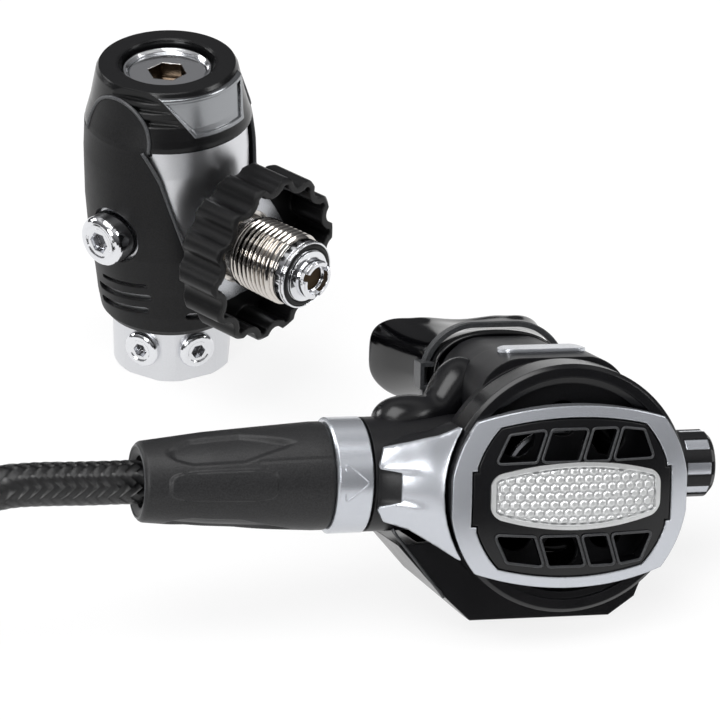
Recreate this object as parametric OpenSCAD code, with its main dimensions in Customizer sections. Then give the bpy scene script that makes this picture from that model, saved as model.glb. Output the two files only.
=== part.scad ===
// Scuba regulator set: a diaphragm first stage with a screw-in DIN connector, and a
// balanced second stage on its low-pressure hose, both lying ready on a flat floor.
//
// Row frame: the origin is the centre of the first stage's base, +Z is up, and the
// DIN connector points along -Y.
// The second stage has a frame of its own, with its origin at the centre of the front
// ring: +X points to the adjusting knob, +Y to the mouthpiece and +Z up.

/* [First stage body] */
// Height of the first stage, floor to cap top
stage_h = 101.5; // [99:0.5:106]
// Radius of the port turret at the foot
turret_r = 18.5; // [17.6:0.1:18.8]
// Height of the port turret
turret_h = 18; // [17:0.5:20]
// Height of the top cap above its joint with the shroud
cap_h = 18; // [17:0.5:20]
// Largest radius of the rubber-armoured shroud
shroud_r = 25.9; // [25:0.1:28]
// Radius of the shroud at its waist, above the turret
shroud_waist_r = 22.8; // [22.2:0.1:24]
// Wall of the shroud
shroud_wall = 1.4; // [1:0.1:2]
// Radius of the cap's flat top
cap_top_r = 20.6; // [19.8:0.1:22]
// Wall of the top cap
cap_wall = 4.4; // [4:0.1:5]
// Inner radius of the spring chamber
chamber_r = 13.75; // [13:0.05:14.5]
// Radius of the hole in the cap's top
cap_hole_r = 14.75; // [14.6:0.05:16]

/* [Ports] */
// Height of the low-pressure ports
lp_port_z = 10.3; // [9:0.1:11]
// Thread core radius of a low-pressure port
lp_port_r = 4.3; // [4:0.05:4.6]
// Radius of a low-pressure plug's head
lp_head_r = 5.8; // [5.4:0.1:6]
// Height of the high-pressure ports
gauge_port_z = 52.5; // [50:0.5:55]
// Thread core radius of a high-pressure port
gauge_port_r = 5; // [4.6:0.1:5.4]
// Radius of a high-pressure plug's head
gauge_head_r = 8; // [7.4:0.1:8.4]
// Distance of a high-pressure plug's face from the axis
gauge_face = 32; // [30:0.5:34]

/* [DIN connector] */
// Height of the DIN connector's axis
din_z = 50; // [48:0.5:52]
// Outside radius of the DIN thread
din_thread_r = 11.455; // [11:0.005:12]
// Distance of the connector's sealing face from the axis
din_face = 57.4; // [56:0.1:60]
// Radius of the pilot in front of the thread
din_pilot_r = 10.5; // [10:0.05:10.8]
// Radius of the fixed nipple inside the threaded bolt
nipple_r = 6; // [5.5:0.1:6.5]
// Radius of the handwheel over its lobes
wheel_r = 26.3; // [25.5:0.1:27]
// Wall of the handwheel's fluted rim
wheel_wall = 2; // [1.6:0.1:2.4]
// Width of the handwheel
wheel_w = 15.8; // [14:0.2:17]
// Number of grip lobes on the handwheel
wheel_lobes = 14; // [12:1:14]
// Radius of the handwheel's hub bore
wheel_hub_r = 13; // [12.6:0.1:13.6]

/* [Second stage case] */
// Outside radius of the case behind the front ring
case_r = 34.6; // [34:0.1:36]
// How far the front ring stands out over the case
ring_step = 0.9; // [0.6:0.1:2]
// Wall of the case
case_wall = 2; // [1.6:0.1:2.4]
// Depth of the case behind its front ring's centre plane
case_depth = 38.5; // [37.5:0.5:40]
// Half height of the neck that leads to the mouthpiece
neck_r = 13; // [12.5:0.1:13.4]
// Half distance between the neck's two round sides
neck_half = 6; // [5:0.5:7]
// Distance of the neck's end behind the front ring
neck_end = 68; // [66:0.5:71]
// Half width of the mouthpiece's lip guard
lip_half_w = 27; // [25:0.5:29]
// Half height of the mouthpiece's lip guard
lip_half_h = 14; // [13:0.5:15]

/* [Second stage front] */
// Radius of the front's dome
dome_r = 110; // [100:1:130]
// Distance of the dome's middle in front of the ring's centre plane
dome_front = 9; // [8.6:0.1:9.6]
// Distance of the bezel's long edges inside the case's radius
bezel_inset = 8.6; // [7.8:0.1:9.4]
// Width of the bezel's upper and lower bars
bezel_bar_h = 3.1; // [2.8:0.1:4]
// Width of the bezel's side bars
bezel_bar_w = 6.6; // [6:0.1:7.4]
// Gap between the purge button and the bezel
button_gap = 0.5; // [0.4:0.05:0.8]
// Travel of the purge button
purge_travel = 3; // [2:0.1:3]
// Width of the button beside its plate
plate_inset = 3.05; // [2.5:0.05:4]
// Half height of the button's plate
plate_half_h = 9.6; // [8.6:0.1:9.8]
// Height of the water slots in the button
slot_h = 8.6; // [7.6:0.1:9]
// Width of the button beside a row of water slots
slot_inset = 5.2; // [4.6:0.1:6.5]
// Width of the bars between the water slots
bar_w = 1.8; // [1.4:0.1:2.4]

/* [Inlet and adjuster] */
// Radius of the case's inlet barrel
barrel_r = 16.3; // [15.9:0.1:17]
// Radius of the valve tube
valve_tube_r = 8.5; // [8:0.1:9]
// Bore radius of the valve tube
valve_bore_r = 5.4; // [5.2:0.1:5.8]
// Length of the inlet sleeve
sleeve_l = 54.3; // [50:0.5:58]
// Radius of the inlet sleeve at its thick end
sleeve_r = 15.5; // [15.2:0.1:16.2]
// Radius of the inlet sleeve at its mouth
sleeve_mouth_r = 11.4; // [11:0.1:12.4]
// Width of the selector ring
selector_w = 10.5; // [9:0.5:11]
// Radius of the adjusting knob
knob_r = 9.7; // [9.3:0.1:10.4]
// Length of the adjusting knob
knob_l = 10.6; // [9.6:0.1:12]

/* [Hose] */
// Outside diameter of the braided hose
hose_d = 12.5; // [11.5:0.1:13]
// Mean radius of the hose's coil where it starts
coil_r = 58; // [56:1:62]
// Step of the coil's spiral per turn
coil_pitch = 19; // [18.5:0.1:22]
// Turns of the coil
coil_turns = 1.15; // [1:0.05:1.25]
// Radius of the hose's ferrules
ferrule_r = 7.8; // [7.2:0.1:8.4]
// Thread core radius of the hose's end fitting
fitting_thread_r = 4.7; // [4.4:0.05:4.8]
// Length of the end fitting's thread
fitting_thread_l = 9.5; // [8:0.5:12]

/* [Fits] */
// Gap between parts that turn or slide past each other
run_gap = 0.3; // [0.2:0.05:0.4]
// Gap between parts that are mounted together
seat_gap = 0.1; // [0.05:0.05:0.2]

/* [Hidden] */
$fn = 72;
cut = 0.5; // how far a cutting tool overshoots the face it leaves

// ---- First stage, derived ----
seam_z = stage_h - cap_h;
shoulder_z = seam_z - 25.5;
upper_z = seam_z - 9.5;
gauge_angles = [-88, 88];
lp_plug_angles = [-77, -21, 103];
lp_open_angle = 159;
flat_face = turret_r - 1.3;
turret_flats = [-77, -21, 41, 103, 159];
plug_head_l = 2.2;
// Radii of the shroud at heights from its rim to the cap
shroud_foot_z = 17.5;
shroud_side = [
    [shroud_waist_r - 3.5, shroud_foot_z], [shroud_waist_r - 2.3, shroud_foot_z + 0.5],
    [shroud_waist_r - 0.8, 20], [shroud_waist_r, 25], [shroud_waist_r + 0.7, 33],
    [shroud_r - 0.7, 46], [shroud_r, shoulder_z], [shroud_r, upper_z], [shroud_r - 0.5, seam_z - 0.2]
];
body_inset = shroud_wall + run_gap;
body_top = seam_z - 0.3;
chamber_wall = 4.3;
chamber_floor = 60;
collar_top = stage_h - 6;
retainer_top = stage_h - 2;
adjuster_top = retainer_top - 1.3;
adjuster_r = 11.8;
adjuster_l = 9.5;
pad_z = 62.3;
pad_l = 3.5;
seat_z = 53.5;
inlet_chamber_r = 5.5;
inlet_chamber_z = 30;
valve_lift = 0.6;
gauge_flat = body_r_at(gauge_port_z) - 0.7;
boss_r = 13.2;
boss_l = 27.5;
ear_half_w = 12.4;
ear_h = 14.2;
hub_back = boss_l + run_gap;
wheel_back = 28.4;
wheel_floor = 2.6;
washer_r = 17.6;
washer_w = 0.9;
nipple_head_l = 3.6;
bolt_front = din_face - nipple_head_l - run_gap;
tip_l = 4.6;

// ---- Second stage, derived ----
stage2_at = [-28, -185, 43];
stage2_turn = [-20.9, 6.8, -32.5];
ring_r = case_r + ring_step;
ring_front = -1.6;
ring_back = 9;
spigot_r = case_r - 1.4;
cavity_r = spigot_r - 1.8;
ledge_y = 13.2;
guard_y = 5;
guard_t = 1.5;
rim_t = 1.6;
bezel_z = -1.5;
edge_arc_r = 89;
bezel_side_r = case_r + 0.4;
bezel_half_h = case_r - bezel_inset;
opening_half_h = bezel_half_h - bezel_bar_h;
opening_half_w = case_r - bezel_bar_w;
opening_corner_r = case_r - 5.1;
plate_half_w = opening_half_w - plate_inset;
slot_half_w = opening_half_w - slot_inset;
centre_r = cavity_r - 16.4;
button_wall = 1.8;
slot_foot_z = plate_half_h + 1.2;
bar_feet = [-11, 1.2, 10.2];
bar_lean = 3.2;
inlet_y = 26;
inlet_z = 1;
barrel_end = -18.4 - case_r;
selector_x = barrel_end - 0.5 - selector_w;
sleeve_x = selector_x - sleeve_l;
nut_x = barrel_end - 9;
nut_l = 16;
ferrule_l = 22;
hose_start_x = nut_x - nut_l - ferrule_l;
knob_barrel_r = 10.5;
knob_barrel_end = case_r + 5.4;
knob_x = knob_barrel_end + run_gap;
neck_x = -3;
neck_z = case_r - 12.6;
neck_step = 54;
plateau_end = 34;
neck_wall = 2;
spigot_drop = 1.6;
plate_y = ledge_y - rim_t - 0.6;
plate_t = 1.5;
lever_pivot = [20, 16.2];
lever_tip = [0, plate_y + plate_t + run_gap + 0.1];
fork_l = 9.4;
valve_seat_x = -20;
orifice_l = valve_seat_x - nut_x - 0.1;
poppet_x = valve_seat_x + 0.1;
spindle_x = knob_barrel_end - 9;
exhaust_y = 23;
exhaust_r = 9;
exhaust_seat_z = 3.6 - case_r;
tee_front = 11;
tee_back = 42;
rest_z = -7 - case_r;

// ---- Hose route, second stage to coil: round numbers, centre line ----
hose_r = hose_d / 2;
hose_points = [
    [-144, -82, 53], [-151, -76.7, 51.6], [-160, -69.5, 46.6], [-169, -61.5, 39.2],
    [-177.5, -53, 32], [-184, -46, 27.2], [-191, -39, 23.8], [-198, -31.6, 21],
    [-205, -24.3, 18.6], [-212, -17, 16.2], [-219, -9.4, 13.4], [-225.5, -1.6, 10.6],
    [-230.6, 7.8, 8]
];
coil_start = [-235.5, 31.5, hose_r];
coil_heading = 97;
coil_centre = coil_start + coil_r * [cos(coil_heading - 90), sin(coil_heading - 90), 0];
coil_first = coil_heading + 90;
rings_per_loop = 24;
coil_path = [for (i = [0:round(rings_per_loop * coil_turns)]) coil_point(i * 360 / rings_per_loop)];
coil_end_angle = round(rings_per_loop * coil_turns) * 360 / rings_per_loop;
coil_end_heading = coil_heading - coil_end_angle;
coil_leave = [cos(coil_end_heading), sin(coil_end_heading), 0];
hose_end = coil_point(coil_end_angle) + hose_d * coil_leave;
end_ferrule_l = 22;
end_hex_l = 8;
end_neck_l = 4;
function coil_point(turned) =
    let (r = coil_r + coil_pitch * turned / 360)
    [coil_centre[0] + r * cos(coil_first - turned), coil_centre[1] + r * sin(coil_first - turned), hose_r];

// ---- Helpers ----
// Radius of the pressure body inside the shroud at height z
function body_r_at(z) = lookup(z, [for (p = shroud_side) [p[1], p[0]]]) - body_inset;
function unit(v) = v / norm(v);
function along(path, i) = unit(path[min(i + 1, len(path) - 1)] - path[max(i - 1, 0)]);
function tube_ring(centre, ahead, r, sides) =
    let (side = unit(cross(ahead, [0, 0, 1])), above = cross(side, ahead))
    [for (k = [0:sides - 1]) centre + r * (cos(360 * k / sides) * side + sin(360 * k / sides) * above)];
function skin_faces(rings, sides) = [
    for (i = [0:rings - 2], k = [0:sides - 1])
        let (a = i * sides + k, b = i * sides + (k + 1) % sides)
        each [[a, b, b + sides], [a, b + sides, a + sides]]
];
function end_faces(rings, sides) = let (last = (rings - 1) * sides) [
    for (k = [1:sides - 2]) each [[0, k + 1, k], [last, last + k, last + k + 1]]
];

// Tube of a given radius along a path of points
module tube(path, r, sides) {
    points = [for (i = [0:len(path) - 1]) each tube_ring(path[i], along(path, i), r, sides)];
    polyhedron(points, concat(skin_faces(len(path), sides), end_faces(len(path), sides)));
}
// Coil spring along +Z from z = 0, with its wire inside the given length
module spring(r, wire_r, length, turns) {
    steps = round(turns * 14);
    climb = length - 2 * wire_r;
    tube([for (i = [0:steps])
        [r * cos(360 * i / 14), r * sin(360 * i / 14), wire_r + climb * i / steps]], wire_r, 6);
}
// Solid of revolution about +Z from [radius, height] points
module turned(points) {
    rotate_extrude() polygon(points);
}
// Ring of round section about the Z axis
module o_ring(r, section_r) {
    rotate_extrude() translate([r, 0]) circle(section_r, $fn = 24);
}
// Places +Z along the first stage's radius at angle a from the DIN axis, at height z
module at_side(a, z) {
    translate([0, 0, z]) rotate([90, 0, a]) children();
}
module at_stage2() {
    translate(stage2_at) rotate(stage2_turn) children();
}
// Second stage: extrudes an outline drawn in X and Z between two depths
module through(y0, y1) {
    translate([0, y1, 0]) rotate([90, 0, 0]) linear_extrude(y1 - y0) children();
}
// Second stage: turns [radius, depth] points about the ring's axis
module turned_y(points) {
    rotate([-90, 0, 0]) turned(points);
}
// Second stage: places +Z along +X on the inlet's axis, from x
module on_inlet(x) {
    translate([x, inlet_y, inlet_z]) rotate([0, 90, 0]) children();
}
// Oval outline with two round sides
module stadium(half, r) {
    translate([-half, 0]) circle(r);
    translate([half, 0]) circle(r);
    square([2 * half, 2 * r], center = true);
}
module hexagon(across_flats) {
    circle(across_flats / sqrt(3), $fn = 6);
}

// ---- First stage ----
module body_shape() {
    top_r = body_r_at(upper_z);
    turned([
        [0, 0], [turret_r - 0.6, 0], [turret_r, 0.6], [turret_r, turret_h - 1],
        [turret_r - 0.4, turret_h], [turret_r - 1.3, 19.4], [body_r_at(20.5), 20.5],
        [body_r_at(25), 25], [body_r_at(33), 33], [body_r_at(46), 46], [top_r, shoulder_z], [top_r, upper_z],
        [top_r - 0.6, body_top], [chamber_r + chamber_wall, body_top],
        [chamber_r + chamber_wall, collar_top - 1], [chamber_r + chamber_wall - 1, collar_top],
        [0, collar_top]
    ]);
    at_side(0, din_z) cylinder(r = boss_r, h = boss_l);
}
module body_bores() {
    translate([0, 0, chamber_floor]) cylinder(r = chamber_r, h = stage_h);
    translate([0, 0, seat_z + 3]) cylinder(r = 11, h = chamber_floor - seat_z);
    translate([0, 0, seat_z - cut]) cylinder(r = 2.6, h = 5);
    translate([0, 0, inlet_chamber_z]) cylinder(r = inlet_chamber_r, h = seat_z - inlet_chamber_z);
    translate([0, 0, inlet_chamber_z - 6.2]) cylinder(r = 2.4, h = 7);
    // low-pressure drilling down to the turret's ring chamber
    translate([0, 8.7, lp_port_z]) cylinder(r = 1.6, h = chamber_floor - lp_port_z, $fn = 32);
    translate([0, 0, lp_port_z - 5.5]) cylinder(r = 10.8, h = 11);
    for (a = turret_flats) at_side(a, 0) translate([-turret_r, -cut, flat_face])
        cube([2 * turret_r, turret_h + 1.4 + cut, 4]);
    for (a = concat(lp_plug_angles, [lp_open_angle])) at_side(a, lp_port_z)
        translate([0, 0, 9]) cylinder(r = lp_port_r, h = 12);
    for (a = gauge_angles) at_side(a, gauge_port_z) {
        translate([0, 0, gauge_flat]) cylinder(r = gauge_head_r + 0.6, h = 6);
        translate([0, 0, gauge_flat - 9]) cylinder(r = gauge_port_r, h = 12);
        cylinder(r = 1.6, h = gauge_flat, $fn = 32);
    }
    at_side(0, din_z) {
        translate([0, 0, boss_l - 11]) cylinder(r = nipple_r + seat_gap, h = 14);
        cylinder(r = 3, h = boss_l, $fn = 32);
    }
}
module pressure_body() {
    color("silver") difference() {
        body_shape();
        body_bores();
    }
}
// Half of the outline of the opening in the shroud's front, that shows the metal body
window_side = [
    [23.2, seam_z + 4], [22.5, seam_z], [21.4, seam_z - 4], [19.8, seam_z - 10], [18.4, seam_z - 17],
    [16.6, seam_z - 25], [14.4, seam_z - 33], [11, seam_z - 41]
];
module shroud_window() {
    at_side(0, 0) linear_extrude(shroud_r + 10) for (flip = [0, 1]) mirror([flip, 0])
        polygon(concat([[-cut, window_side[0][1]]], window_side, [[-cut, window_side[7][1]]]));
}
// Rounded ear of the shroud that laps over the cap's side, grown by e
module ear_outline(e) {
    intersection() {
        scale([1, ear_h / ear_half_w]) circle(ear_half_w + e);
        translate([-30, -4 - e]) square([60, 40]);
    }
}
module ears(e) {
    for (a = gauge_angles) at_side(a, seam_z) linear_extrude(40) ear_outline(e);
}
module shroud_slot(a, z, half_w, height, lean) {
    at_side(a, z) translate([0, 0, shroud_waist_r - 5]) rotate(lean)
        linear_extrude(14) stadium(half_w - height / 2, height / 2);
}
module shroud() {
    inner = [for (i = [len(shroud_side) - 1:-1:2]) shroud_side[i] - [shroud_wall, 0]];
    color("#232323") difference() {
        turned(concat(shroud_side, inner, [[turret_r + run_gap, shroud_side[2][1] - 0.7],
            [turret_r + run_gap, shroud_foot_z]]));
        shroud_window();
        at_side(0, din_z) cylinder(r = boss_r + run_gap, h = shroud_r + 5);
        for (a = gauge_angles) at_side(a, gauge_port_z)
            translate([0, 0, 10]) cylinder(r = gauge_head_r + 1, h = shroud_r);
        for (side = [-88, 92]) {
            shroud_slot(side, 31, 11, 2.2, 8);
            shroud_slot(side, 26.4, 10, 2.2, 8);
            shroud_slot(side + 3, 35.6, 9, 1.4, 8);
        }
        shroud_slot(-22, 25, 5, 2.2, -8);
    }
    color("#232323") intersection() {
        difference() {
            cap_shell(0.15);
            cap_shell(-shroud_wall);
        }
        ears(0);
    }
}
cap_side = [
    [shroud_r - 0.6, seam_z], [shroud_r - 0.9, seam_z + 1.5], [cap_top_r + 3.8, seam_z + 3.5],
    [cap_top_r + 2.7, seam_z + 7.5], [cap_top_r + 1.4, stage_h - 4], [cap_top_r + 0.9, stage_h - 1.6],
    [cap_top_r, stage_h]
];
module top_cap() {
    inner_r = chamber_r + chamber_wall + run_gap;
    color("#1c1c1c") difference() {
        turned(concat(cap_side, [
            [cap_hole_r + 0.5, stage_h], [cap_hole_r, stage_h - 0.5], [cap_hole_r, collar_top + run_gap],
            [inner_r, collar_top + run_gap], [shroud_r - 0.6 - cap_wall, seam_z + 3],
            [shroud_r - 0.6 - cap_wall, seam_z]
        ]));
        // flat chord at the left, and cooling slots under it and at the back
        rotate(-72) translate([-30, -40 - cap_top_r + 0.4, stage_h - 3]) cube([60, 40, 6]);
        rotate(-62) translate([-10, -40 - cap_top_r - 0.4, stage_h - 6]) cube([20, 40, 1.6]);
        for (a = [-57, 128]) rotate(a)
            translate([-8, -40 - cap_top_r - 0.6, seam_z + 7.8]) cube([16, 40, 2.2]);
        difference() {
            ears(run_gap);
            cap_shell(-shroud_wall - run_gap);
        }
    }
}
module cap_shell(e) {
    turned(concat(
        [for (p = cap_side) p + [e, 0]],
        [[0, stage_h], [0, seam_z - 1.5], [shroud_r - 0.6 + e, seam_z - 1.5]]
    ));
}
// Outline of the cap's plate, drawn from the front at 17 degrees to the DIN axis, inset by e
function plate_outline(e) = [
    [-12.4 + e, stage_h - 1.2 - e], [16.8 - e, stage_h - 1.2 - e], [14.6 - e, stage_h - 13.4 + e],
    [-4.2 + e * 0.6, stage_h - 13.4 + e]
];
module cap_plate() {
    rise = 1.5;
    rim = 0.6;
    color("#303030") difference() {
        intersection() {
            cap_shell(rise);
            at_side(-17, 0) translate([0, 0, 12]) linear_extrude(20) polygon(plate_outline(0));
        }
        cap_shell(0);
        difference() {
            at_side(-17, 0) translate([0, 0, 12]) linear_extrude(20) polygon(plate_outline(1.2));
            cap_shell(rise - rim);
        }
    }
}
module spring_retainer() {
    color("#d8d8da") turned([
        [adjuster_r + seat_gap, adjuster_top - adjuster_l], [chamber_r - seat_gap, adjuster_top - adjuster_l],
        [chamber_r - seat_gap, retainer_top - 0.5], [chamber_r - 0.6, retainer_top],
        [adjuster_r + 0.8, retainer_top], [adjuster_r + seat_gap, retainer_top - 0.8]
    ]);
}
module pressure_adjuster() {
    color("#c9cacc") difference() {
        translate([0, 0, adjuster_top - adjuster_l]) turned([
            [0, 0], [adjuster_r, 0], [adjuster_r, adjuster_l - 0.4], [adjuster_r - 0.4, adjuster_l],
            [0, adjuster_l]
        ]);
        translate([0, 0, adjuster_top - 4.5]) linear_extrude(6) hexagon(10.4);
        translate([0, 0, adjuster_top - adjuster_l - cut]) cylinder(r = 9.8, h = 1.5 + cut);
    }
}
spring_top = adjuster_top - adjuster_l + 1.4;
module main_spring() {
    spring_z = pad_z + pad_l + 0.1;
    color("#9aa0a6") translate([0, 0, spring_z]) spring(8, 1.5, spring_top - spring_z, 4.5);
}
module spring_pad() {
    color("#b9bbbe") translate([0, 0, pad_z]) turned([
        [0, 0.3], [3, 0], [chamber_r - 1.2, 0], [chamber_r - 1.2, 2], [5.8, pad_l - 0.9],
        [10.4, pad_l - 0.9], [10.4, pad_l], [6, pad_l], [5.6, pad_l + 3], [0, pad_l + 4]
    ]);
}
module main_diaphragm() {
    color("#33363a") translate([0, 0, chamber_floor + 0.1]) cylinder(r = chamber_r - seat_gap, h = 2);
}
module thrust_pin() {
    color("#cfd0d2") turned([
        [0, seat_z + 0.1], [1.2, seat_z + 0.1], [1.2, chamber_floor - 1.4], [7, chamber_floor - 1.4],
        [7, chamber_floor], [0, chamber_floor]
    ]);
}
module inlet_poppet() {
    top = seat_z - 0.05;
    color("#e4e0d0") turned([
        [0, inlet_chamber_z - 5], [2.2, inlet_chamber_z - 5], [2.2, top - 5], [4.6, top - 4],
        [4.6, top - 0.6], [3.8, top], [0, top]
    ]);
}
module inlet_spring() {
    bottom = inlet_chamber_z + 3.1;
    color("#9aa0a6") translate([0, 0, bottom]) spring(3.6, 0.45, seat_z - 5 - bottom, 6);
}
module balance_plug() {
    color("#b08d4a") difference() {
        translate([0, 0, inlet_chamber_z + 0.05]) cylinder(r = inlet_chamber_r - seat_gap, h = 3);
        translate([0, 0, inlet_chamber_z - cut]) cylinder(r = 2.2 + 0.1, h = 5);
    }
}
// Screw-in port plug with a hex socket: a straight head with a rounded edge round a shallow dish
module port_plug(head_r, head_l, edge, shank_r, shank_l, socket) {
    difference() {
        turned(concat([[0, -shank_l], [shank_r, -shank_l], [shank_r, 0], [head_r, 0]],
            [for (a = [0:15:90]) [head_r - edge * (1 - cos(a)), head_l - edge * (1 - sin(a))]],
            [[head_r * 0.62, head_l], [head_r * 0.55, head_l - 0.3], [0, head_l - 0.3]]));
        translate([0, 0, head_l - 3.2]) linear_extrude(4) hexagon(socket);
    }
}
module lp_plugs() {
    color("#d9dadc") for (a = lp_plug_angles) at_side(a, lp_port_z) translate([0, 0, flat_face])
        port_plug(lp_head_r, plug_head_l, 1.5, lp_port_r - seat_gap, 5.5, 4);
}
module gauge_plugs() {
    color("#d9dadc") for (a = gauge_angles) at_side(a, gauge_port_z) translate([0, 0, gauge_flat])
        port_plug(gauge_head_r, gauge_face - gauge_flat, 2.2, gauge_port_r - seat_gap, 7.5, 6);
}
module plug_o_rings() {
    color("#151515") {
        for (a = lp_plug_angles) at_side(a, lp_port_z)
            translate([0, 0, flat_face - 6.3]) o_ring(lp_port_r - 0.85, 0.7);
        for (a = gauge_angles) at_side(a, gauge_port_z)
            translate([0, 0, gauge_flat - 8.3]) o_ring(gauge_port_r - 0.85, 0.7);
    }
}
module din_nipple() {
    color("#8d8a88") difference() {
        at_side(0, din_z) turned([
            [0, boss_l - 9.5], [nipple_r, boss_l - 9.5], [nipple_r, bolt_front + run_gap],
            [din_pilot_r, bolt_front + run_gap], [din_pilot_r, din_face - 1.4],
            [din_pilot_r - 0.4, din_face - 1.2], [din_pilot_r - 0.4, din_face - 0.9],
            [din_pilot_r, din_face - 0.7], [din_pilot_r, din_face - 0.2], [din_pilot_r - 0.2, din_face],
            [9.95, din_face], [9.95, din_face - 1.5], [8.05, din_face - 1.5], [8.05, din_face],
            [0, din_face]
        ]);
        at_side(0, din_z) translate([0, 0, boss_l - 10]) cylinder(r = 3, h = 60, $fn = 32);
        at_side(0, din_z) translate([0, 0, din_face - 8]) cylinder(r = 5.1, h = 9);
    }
}
module din_bolt() {
    color("#b9b2a6") difference() {
        at_side(0, din_z) turned([
            [0, hub_back], [wheel_hub_r, hub_back], [wheel_hub_r, wheel_back + wheel_floor],
            [din_thread_r - 1.2, wheel_back + wheel_floor], [din_thread_r - 1.2, 35],
            [din_thread_r, 36], [din_thread_r, bolt_front - 0.8], [din_thread_r - 0.8, bolt_front],
            [0, bolt_front]
        ]);
        at_side(0, din_z) cylinder(r = nipple_r + run_gap / 2, h = din_face);
    }
}
// Fluted outline: lobes and valleys of touching circles, moved inward by e
module flutes(e) {
    lobe_r = 3.3;
    valley_r = 3.3;
    lobe_at = wheel_r - lobe_r;
    valley_at = lobe_at + 3.6;
    difference() {
        circle(lobe_at + 1.8 - e);
        for (i = [0:wheel_lobes - 1]) rotate((i + 0.5) * 360 / wheel_lobes)
            translate([valley_at, 0]) circle(valley_r + e, $fn = 32);
    }
    for (i = [0:wheel_lobes - 1]) rotate(i * 360 / wheel_lobes)
        translate([lobe_at, 0]) circle(lobe_r - e, $fn = 32);
}
module handwheel() {
    color("#191919") at_side(0, din_z) translate([0, 0, wheel_back]) difference() {
        intersection() {
            linear_extrude(wheel_w) flutes(0);
            turned([
                [0, 0], [wheel_r - 1.5, 0], [wheel_r + 0.1, 1.6], [wheel_r + 0.1, wheel_w - 1],
                [wheel_r - 1, wheel_w], [0, wheel_w]
            ]);
        }
        translate([0, 0, wheel_floor]) linear_extrude(wheel_w) flutes(wheel_wall);
        translate([0, 0, -cut]) cylinder(r = wheel_hub_r + seat_gap, h = wheel_floor + 2 * cut);
    }
}
module hub_washer() {
    color("#cfcfd1") at_side(0, din_z) translate([0, 0, wheel_back + wheel_floor + 0.05])
        difference() {
            intersection() {
                cylinder(r = washer_r, h = washer_w);
                translate([0, 0, -1]) linear_extrude(4) hexagon(2 * washer_r - 4.4);
            }
            translate([0, 0, -cut]) cylinder(r = din_thread_r + seat_gap, h = 3);
        }
}
module din_o_ring() {
    color("#17181a") at_side(0, din_z) translate([0, 0, din_face - 0.6]) o_ring(9, 0.85);
}
module inlet_filter() {
    color("#b98d4e") at_side(0, din_z) turned([
        [0, din_face - 7.9], [5, din_face - 7.9], [5, din_face - 6.6], [4.85, din_face - 6.5],
        [3.6, din_face + 2],
        [0, din_face + 2]
    ]);
}
module filter_retainer() {
    color("#8b8d90") difference() {
        at_side(0, din_z) turned([
            [0, din_face - 6.2], [5, din_face - 6.2], [5, din_face], [7.95, din_face],
            [7.95, din_face + 0.8], [6.1, din_face + 1.3], [6.1, din_face + tip_l - 0.5],
            [5.6, din_face + tip_l], [0, din_face + tip_l]
        ]);
        at_side(0, din_z) {
            translate([0, 0, din_face - 6.3]) turned([
                [0, 0], [5 - 0.05, 0], [3.9, 8.6], [4.5, 9], [4.5, 12], [0, 12]
            ]);
            for (i = [0:2]) rotate(120 * i + 30)
                translate([0, -1.1, din_face + tip_l - 2]) cube([8, 2.2, 3]);
        }
    }
}

// ---- Second stage case ----
// [radius, depth] of the case behind the ring, moved outward by e
function case_side(e) = [
    [case_r + e, ring_back + run_gap], [case_r + e, 12.5], [case_r - 0.6 + e, 16.5],
    [case_r - 2 + e, 20.5], [case_r - 5 + e, 28], [case_r - 9.6 + e, case_depth - 3.5],
    [case_r - 14.6 + e, case_depth + e], [0, case_depth + e]
];
module neck_outline(r) {
    translate([neck_x, neck_z]) stadium(neck_half, r);
}
// Flat shoulder of the case that the badge sits on
module plateau_outline() {
    translate([0, neck_z]) stadium(9.5, neck_r);
}
module case_outside() {
    turned_y(concat([[0, 3], [spigot_r, 3], [spigot_r, ring_back + run_gap]], case_side(0)));
    on_inlet(barrel_end) cylinder(r = barrel_r, h = 36);
    on_inlet(15) turned([[0, 0], [knob_barrel_r, 0], [knob_barrel_r, knob_barrel_end - 16],
        [knob_barrel_r - 1, knob_barrel_end - 15], [0, knob_barrel_end - 15]]);
    through(20, neck_step) neck_outline(neck_r);
    through(14, plateau_end) plateau_outline();
    through(20, neck_end) neck_outline(neck_r - spigot_drop);
    translate([0, exhaust_y, exhaust_seat_z - 0.6]) cylinder(r = exhaust_r + 2.2, h = 8);
}
module case_cavity() {
    turned_y([
        [0, 3 - cut], [cavity_r, 3 - cut], [cavity_r, ledge_y], [cavity_r - 2, ledge_y],
        [cavity_r - 2, 20.5], [case_r - 5 - case_wall, 27.4], [case_r - 9.6 - case_wall, case_depth - 4.5],
        [case_r - 15.6 - case_wall, case_depth - case_wall], [0, case_depth - case_wall]
    ]);
}
module case() {
    color("#26272a") at_stage2() difference() {
        union() {
            difference() {
                case_outside();
                case_cavity();
            }
            // seat of the exhaust valve
            translate([0, exhaust_y, exhaust_seat_z + 0.8]) cylinder(r = exhaust_r, h = 1.6);
        }
        on_inlet(-60) cylinder(r = valve_tube_r + seat_gap, h = 120);
        on_inlet(barrel_end - cut) cylinder(r = 12.4, h = 6);
        through(30, neck_end + cut) neck_outline(neck_r - spigot_drop - neck_wall);
        translate([0, exhaust_y, exhaust_seat_z - 4]) cylinder(r = exhaust_r + 0.6, h = 4.8);
        for (i = [0:5]) rotate_about_exhaust(60 * i)
            translate([exhaust_r - 4.1, 0, -cut]) cylinder(r = 2.1, h = 4, $fn = 32);
        translate([0, exhaust_y, exhaust_seat_z]) cylinder(r = 1.3, h = 6, $fn = 32);
    }
}
module rotate_about_exhaust(a) {
    translate([0, exhaust_y, exhaust_seat_z + 0.8]) rotate(a) children();
}
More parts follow.
